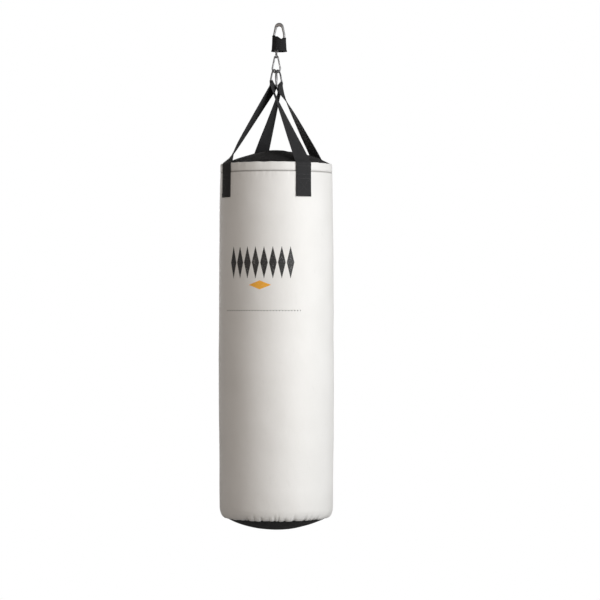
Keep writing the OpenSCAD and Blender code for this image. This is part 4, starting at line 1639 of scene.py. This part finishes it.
def make_zip_tape():
    """Two tapes of woven cloth with a slit between them, sewn down along their outer edges."""
    parts = []
    for side in (-1, 1):
        ring = []
        for i in range(121):
            degrees = -ZIP_ARC - 1 + (2 * ZIP_ARC + 2) * i / 120
            for share, high in TAPE_SECTION:
                y = ZIP_Y + side * TAPE_HALF * share
                wave = ripple((degrees * 0.1, share * side, 0), 5.0) * 0.25 * MM
                ring.append(on_dome(degrees, y, 0.25 * MM + 0.65 * MM * high + abs(wave)))
        faces = capped_faces(121, len(TAPE_SECTION))
        parts.append(point_outwards(add_mesh("tape", ring, faces, ZIP_TAPE), merge=True))
    finished(join("zip_tapes", parts), "bag", "zip_tape", slot="zip_cloth")
    paths = []
    for y in (-12.5, -9.5, 9.5, 12.5):
        paths.append(
            [on_dome(d, ZIP_Y + y * MM, 1.15 * MM) for d in np.linspace(-ZIP_ARC - 0.6, ZIP_ARC + 0.6, 90)]
        )
    sew("zip_stitches", "bag", paths, DARK_THREAD, 2.6, 0.8, 0.28)


def teeth_tree():
    """Zip teeth along an edge, alternately from each side: Pitch, Reach, Width and Metal."""
    measures = {"Pitch": "Float", "Reach": "Float", "Width": "Float"}
    tree = Tree("zip_teeth", {**measures, "Metal": "Material"})
    curve = tree.node("GeometryNodeMeshToCurve", None, {"Mesh": (tree.start, "Geometry")})
    spacing = {"Curve": (curve, 0), "Length": (tree.start, "Pitch")}
    points = tree.node("GeometryNodeCurveToPoints", {"mode": "LENGTH"}, spacing)
    sides = {0: (tree.start, "Width"), 1: (tree.start, "Reach"), 2: (tree.start, "Width")}
    block_size = tree.node("ShaderNodeCombineXYZ", None, sides)
    tooth = tree.node("GeometryNodeMeshUVSphere", None, {"Segments": 8, "Rings": 5, "Radius": 1.0})
    placed = tree.node(
        "GeometryNodeInstanceOnPoints",
        None,
        {"Points": (points, 0), "Instance": (tooth, 0), "Scale": (block_size, 0)},
    )
    index = tree.node("GeometryNodeInputIndex")
    even = tree.node("ShaderNodeMath", {"operation": "PINGPONG"}, {0: (index, 0), 1: 1.0})
    signed = tree.node("ShaderNodeMath", {"operation": "SUBTRACT"}, {0: (even, 0), 1: 0.5})
    shift = tree.node("ShaderNodeMath", {"operation": "MULTIPLY"}, {0: (signed, 0), 1: (tree.start, "Reach")})
    move = tree.node("ShaderNodeCombineXYZ", None, {1: (shift, 0)})
    moved = tree.node(
        "GeometryNodeTranslateInstances",
        {},
        {"Instances": (placed, 0), "Translation": (move, 0), "Local Space": False},
    )
    return tree.close(moved, "Metal")


def make_zip_chain():
    path = [on_dome(d, ZIP_Y, TAPE_TOP + 0.75 * MM) for d in np.linspace(-ZIP_ARC, ZIP_ARC, 200)]
    values = {"Pitch": 1.25 * MM, "Reach": 2.0 * MM, "Width": 0.55 * MM, "Metal": ZIP_METAL}
    chain = teeth_tree().run("zip_teeth", [path], values)
    finished(chain, "bag", "zip_chain", slot="zip_metal")
    parts = []
    for degrees in (-ZIP_ARC - 0.45, ZIP_ARC + 0.45):
        lean = Matrix.Rotation(math.radians(degrees), 4, "Y")
        place = Matrix.Translation(on_dome(degrees, ZIP_Y, TAPE_TOP)) @ lean
        low, high = (-1.4 * MM, -4 * MM, 0.2 * MM), (1.4 * MM, 4 * MM, 2.3 * MM)
        parts.append(block("stop", low, high, ZIP_METAL, place, 0.6 * MM))
    finished(join("zip_end_stops", parts), "bag", "zip_stops", slot="zip_metal")


def make_slider():
    """The slider: a waisted plate with a flange down each side, and a bail between two posts."""
    place = (
        Matrix.Translation((AXIS_X, 0, DOME_Z))
        @ Matrix.Rotation(SLIDER_START, 4, "Y")
        @ Matrix.Rotation(-ZIP_LIE, 4, "X")
        @ Matrix.Translation((0, 0, DOME_R))
    )
    parts = []
    outline = []
    count = 48
    for i in range(count):
        along, across = rounded_turn(TAU * i / count, 0.55, 0.6)
        x = 6 * MM * along
        waist = 1 - 0.2 * math.exp(-((x / (2.4 * MM)) ** 2))
        outline.append((x, 4.8 * MM * waist * across))
    low, high = 3.6 * MM, 5.0 * MM
    edge = 0.3 * MM
    rows = [(0.0, low), (0.9, low), (1.0, low + edge), (1.0, high - edge), (0.9, high), (0.0, high)]
    points = [place @ Vector((x * k, y * k, z)) for k, z in rows for x, y in outline]
    plate = add_mesh("plate", points, grid_faces(len(rows), count), ZIP_METAL)
    parts.append(point_outwards(plate, merge=True))
    for side in (-1, 1):
        y1, y2 = sorted((side * 3.55 * MM, side * 4.8 * MM))
        corners = (-5 * MM, y1, 1.5 * MM), (5 * MM, y2, 4.4 * MM)
        parts.append(block("flange", *corners, ZIP_METAL, place, 0.35 * MM))
        y1, y2 = sorted((side * 2.95 * MM, side * 4.4 * MM))
        corners = (-1.2 * MM, y1, 4.6 * MM), (1.2 * MM, y2, 7.9 * MM)
        parts.append(block("post", *corners, ZIP_METAL, place, 0.5 * MM))
    bail = [place @ Vector((0, y * MM, 6.6 * MM)) for y in (-4.6, -3, 0, 3, 4.6)]
    parts.append(tube("bail", bail, 0.9 * MM, ZIP_METAL, sides=16))
    finished(join("zip_slider_body", parts), "zip_runner", "zip_slider", slot="zip_metal")
    make_pull(place @ Matrix.Translation((0, 0, 6.6 * MM)) @ Matrix.Rotation(math.radians(-6), 4, "Y"))


def make_pull(place):
    """The pull: a flat waisted tab with an eye on the bail and a hole near its end."""
    section = plate_profile(0.95 * MM, 1.6 * MM, 2.5 * MM, 0.25 * MM, 0.25 * MM)
    eye = lathe("pull_eye", section, ZIP_METAL, columns=28, at=ORIGIN, turn=ALONG_Y)
    count = 60
    middle = 17.5 * MM  # from the bail to the middle of the tab
    outline = []
    for i in range(count):
        along, across = rounded_turn(TAU * i / count, 0.35, 0.5)
        x = -middle + 16.5 * MM * along
        waist = 1 - 0.28 * math.exp(-(((x + 10 * MM) / (7 * MM)) ** 2))
        outline.append((x, 2.6 * MM * waist * across))
    rows = [(0.0, -0.8), (0.88, -0.8), (1.0, -0.45), (1.0, 0.45), (0.88, 0.8), (0.0, 0.8)]
    points = []
    for k, z in rows:
        shorter = 0.97 + 0.03 * k if k else 0
        points += [Vector(((x + middle) * shorter - middle, y * k, z * MM)) for x, y in outline]
    tab = point_outwards(add_mesh("tab", points, grid_faces(len(rows), count), ZIP_METAL), merge=True)
    bore = in_mm((0, -2), (1.3, -2), (1.3, 2), (0, 2))
    hole = lathe("hole", bore, ZIP_METAL, columns=32, at=(-30 * MM, 0, 0), closed=False)
    cut(tab, [hole])
    pull = join("zip_pull_tab", [tab, eye])
    pull.data.transform(place)
    finished(pull, "zip_tab", "zip_pull", slot="zip_metal")


make_zip_tape()
make_zip_chain()
make_slider()

# ---- filling ----


def lumpy(size, scale, seed):
    """Uneven surface for something packed by hand."""

    def shape(angle, radius, z):
        point = on_bag(angle, max(radius, 0.01), z)
        return max(0.0, radius + ripple(point, scale, seed) * size * smooth_step(radius / 0.02)), z

    return shape


def make_liner():
    """The foam that lines the wall."""
    outside, inside = 2.3 * MM, 13.6 * MM  # how far in from the wall's face
    rows = [float(z) for z in np.linspace(TOP_Z - 45 * MM, LOW_Z + CORNER_H + 4 * MM, 60)]
    profile = [(wall_radius(z) - outside, z) for z in rows]
    profile += [(wall_radius(z) - inside, z) for z in rows[::-1]]
    liner = lathe("foam_roll", profile, FOAM, columns=120, shape=lumpy(0.0003, 30, 1.0))
    finished(liner, "bag", "foam_liner", slot="foam")


def make_fibre():
    """The packed fibre, with a hollow down the middle for the sand tubes."""
    low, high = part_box("fibre_fill")
    rows = [float(z) for z in np.linspace(high.z - 6 * MM, low.z + 6 * MM, 90)]
    outer = [(wall_radius(z) - 16 * MM, z) for z in rows]
    core = 46.5 * MM
    ballast_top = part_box("ballast_upper")[1].z + 4 * MM
    ballast_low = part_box("ballast_lower")[0].z - 4 * MM
    packed = [(0, high.z - 1 * MM), (outer[0][0] - 8 * MM, high.z - 1 * MM)] + outer
    packed += [(outer[-1][0] - 8 * MM, low.z + 1 * MM), (0, low.z + 1 * MM)]
    fill = lathe("packed_fibre", packed, FIBRE, columns=120, closed=False, shape=lumpy(0.0012, 22, 4.0))
    core_rows = [float(z) for z in np.linspace(ballast_low, ballast_top, 40)]
    hollow = [(0, ballast_low)] + [(core, z) for z in core_rows] + [(0, ballast_top)]
    cavity = lathe("cavity", hollow, FIBRE, columns=64, closed=False, shape=lumpy(0.0008, 26, 7.0))
    cavity.data.flip_normals()
    fill = join("packed_fibre", [fill, cavity])
    finished(fill, "bag", "fibre_fill", slot="fibre")


def make_ballast():
    """Three tubes of cloth filled with sand."""
    for name in ("upper", "middle", "lower"):
        low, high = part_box("ballast_" + name)
        radius = (high.x - low.x) / 2
        half = (high.z - low.z) / 2
        profile = []
        for i in range(41):
            t = -1 + i / 20
            swell = (1 - abs(t) ** 9) ** 0.5
            profile.append((radius * (0.98 * swell), (low.z + high.z) / 2 + half * t))
        lumps = lumpy(0.001, 40, 3.0)
        tube_bag = lathe("sand_tube_" + name, profile, SAND_BAG, columns=72, closed=False, shape=lumps)
        finished(tube_bag, "bag", "ballast_" + name, slot="sand_bag")


def make_pad(name, node, radius, centre, sign):
    """A round foam pad under a cap, cut flat on its inner face."""
    low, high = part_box(node)
    edge = (high.x - low.x) / 2 - 0.6 * MM
    curve = dome_profile(edge - 3 * MM, radius - 4.4 * MM, centre, sign, 24)
    dome = [(x, z - sign * 0.3 * MM) for x, z in curve]
    flat_z = low.z + 0.5 * MM if sign > 0 else high.z - 0.5 * MM
    side_z = dome[-1][1] - sign * 3 * MM
    corners = dome + [(edge, side_z), (edge, flat_z + sign * 3 * MM), (edge - 3 * MM, flat_z), (0, flat_z)]
    pad = lathe(name, corners, FOAM, columns=120, closed=False)
    finished(pad, "bag", node, slot="foam")


make_liner()
make_fibre()
make_ballast()
make_pad("top_foam_pad", "top_pad", DOME_R, DOME_Z, 1)
make_pad("bottom_foam_pad", "bottom_pad", LOW_DOME_R, LOW_DOME_Z, -1)

# ---- CAD parts that keep their shape ----

CARRIED_OVER = {
    "thrust_washer": (BRIGHT, "bright_steel"),
    "bearing_balls": (BRIGHT, "bright_steel"),
    "gate_spring": (FORGED, "forged_steel"),
}
for node_name, (finish_of_node, slot_name) in CARRIED_OVER.items():
    part = NODES[node_name]
    part.data.materials.clear()
    part.data.materials.append(finish_of_node)
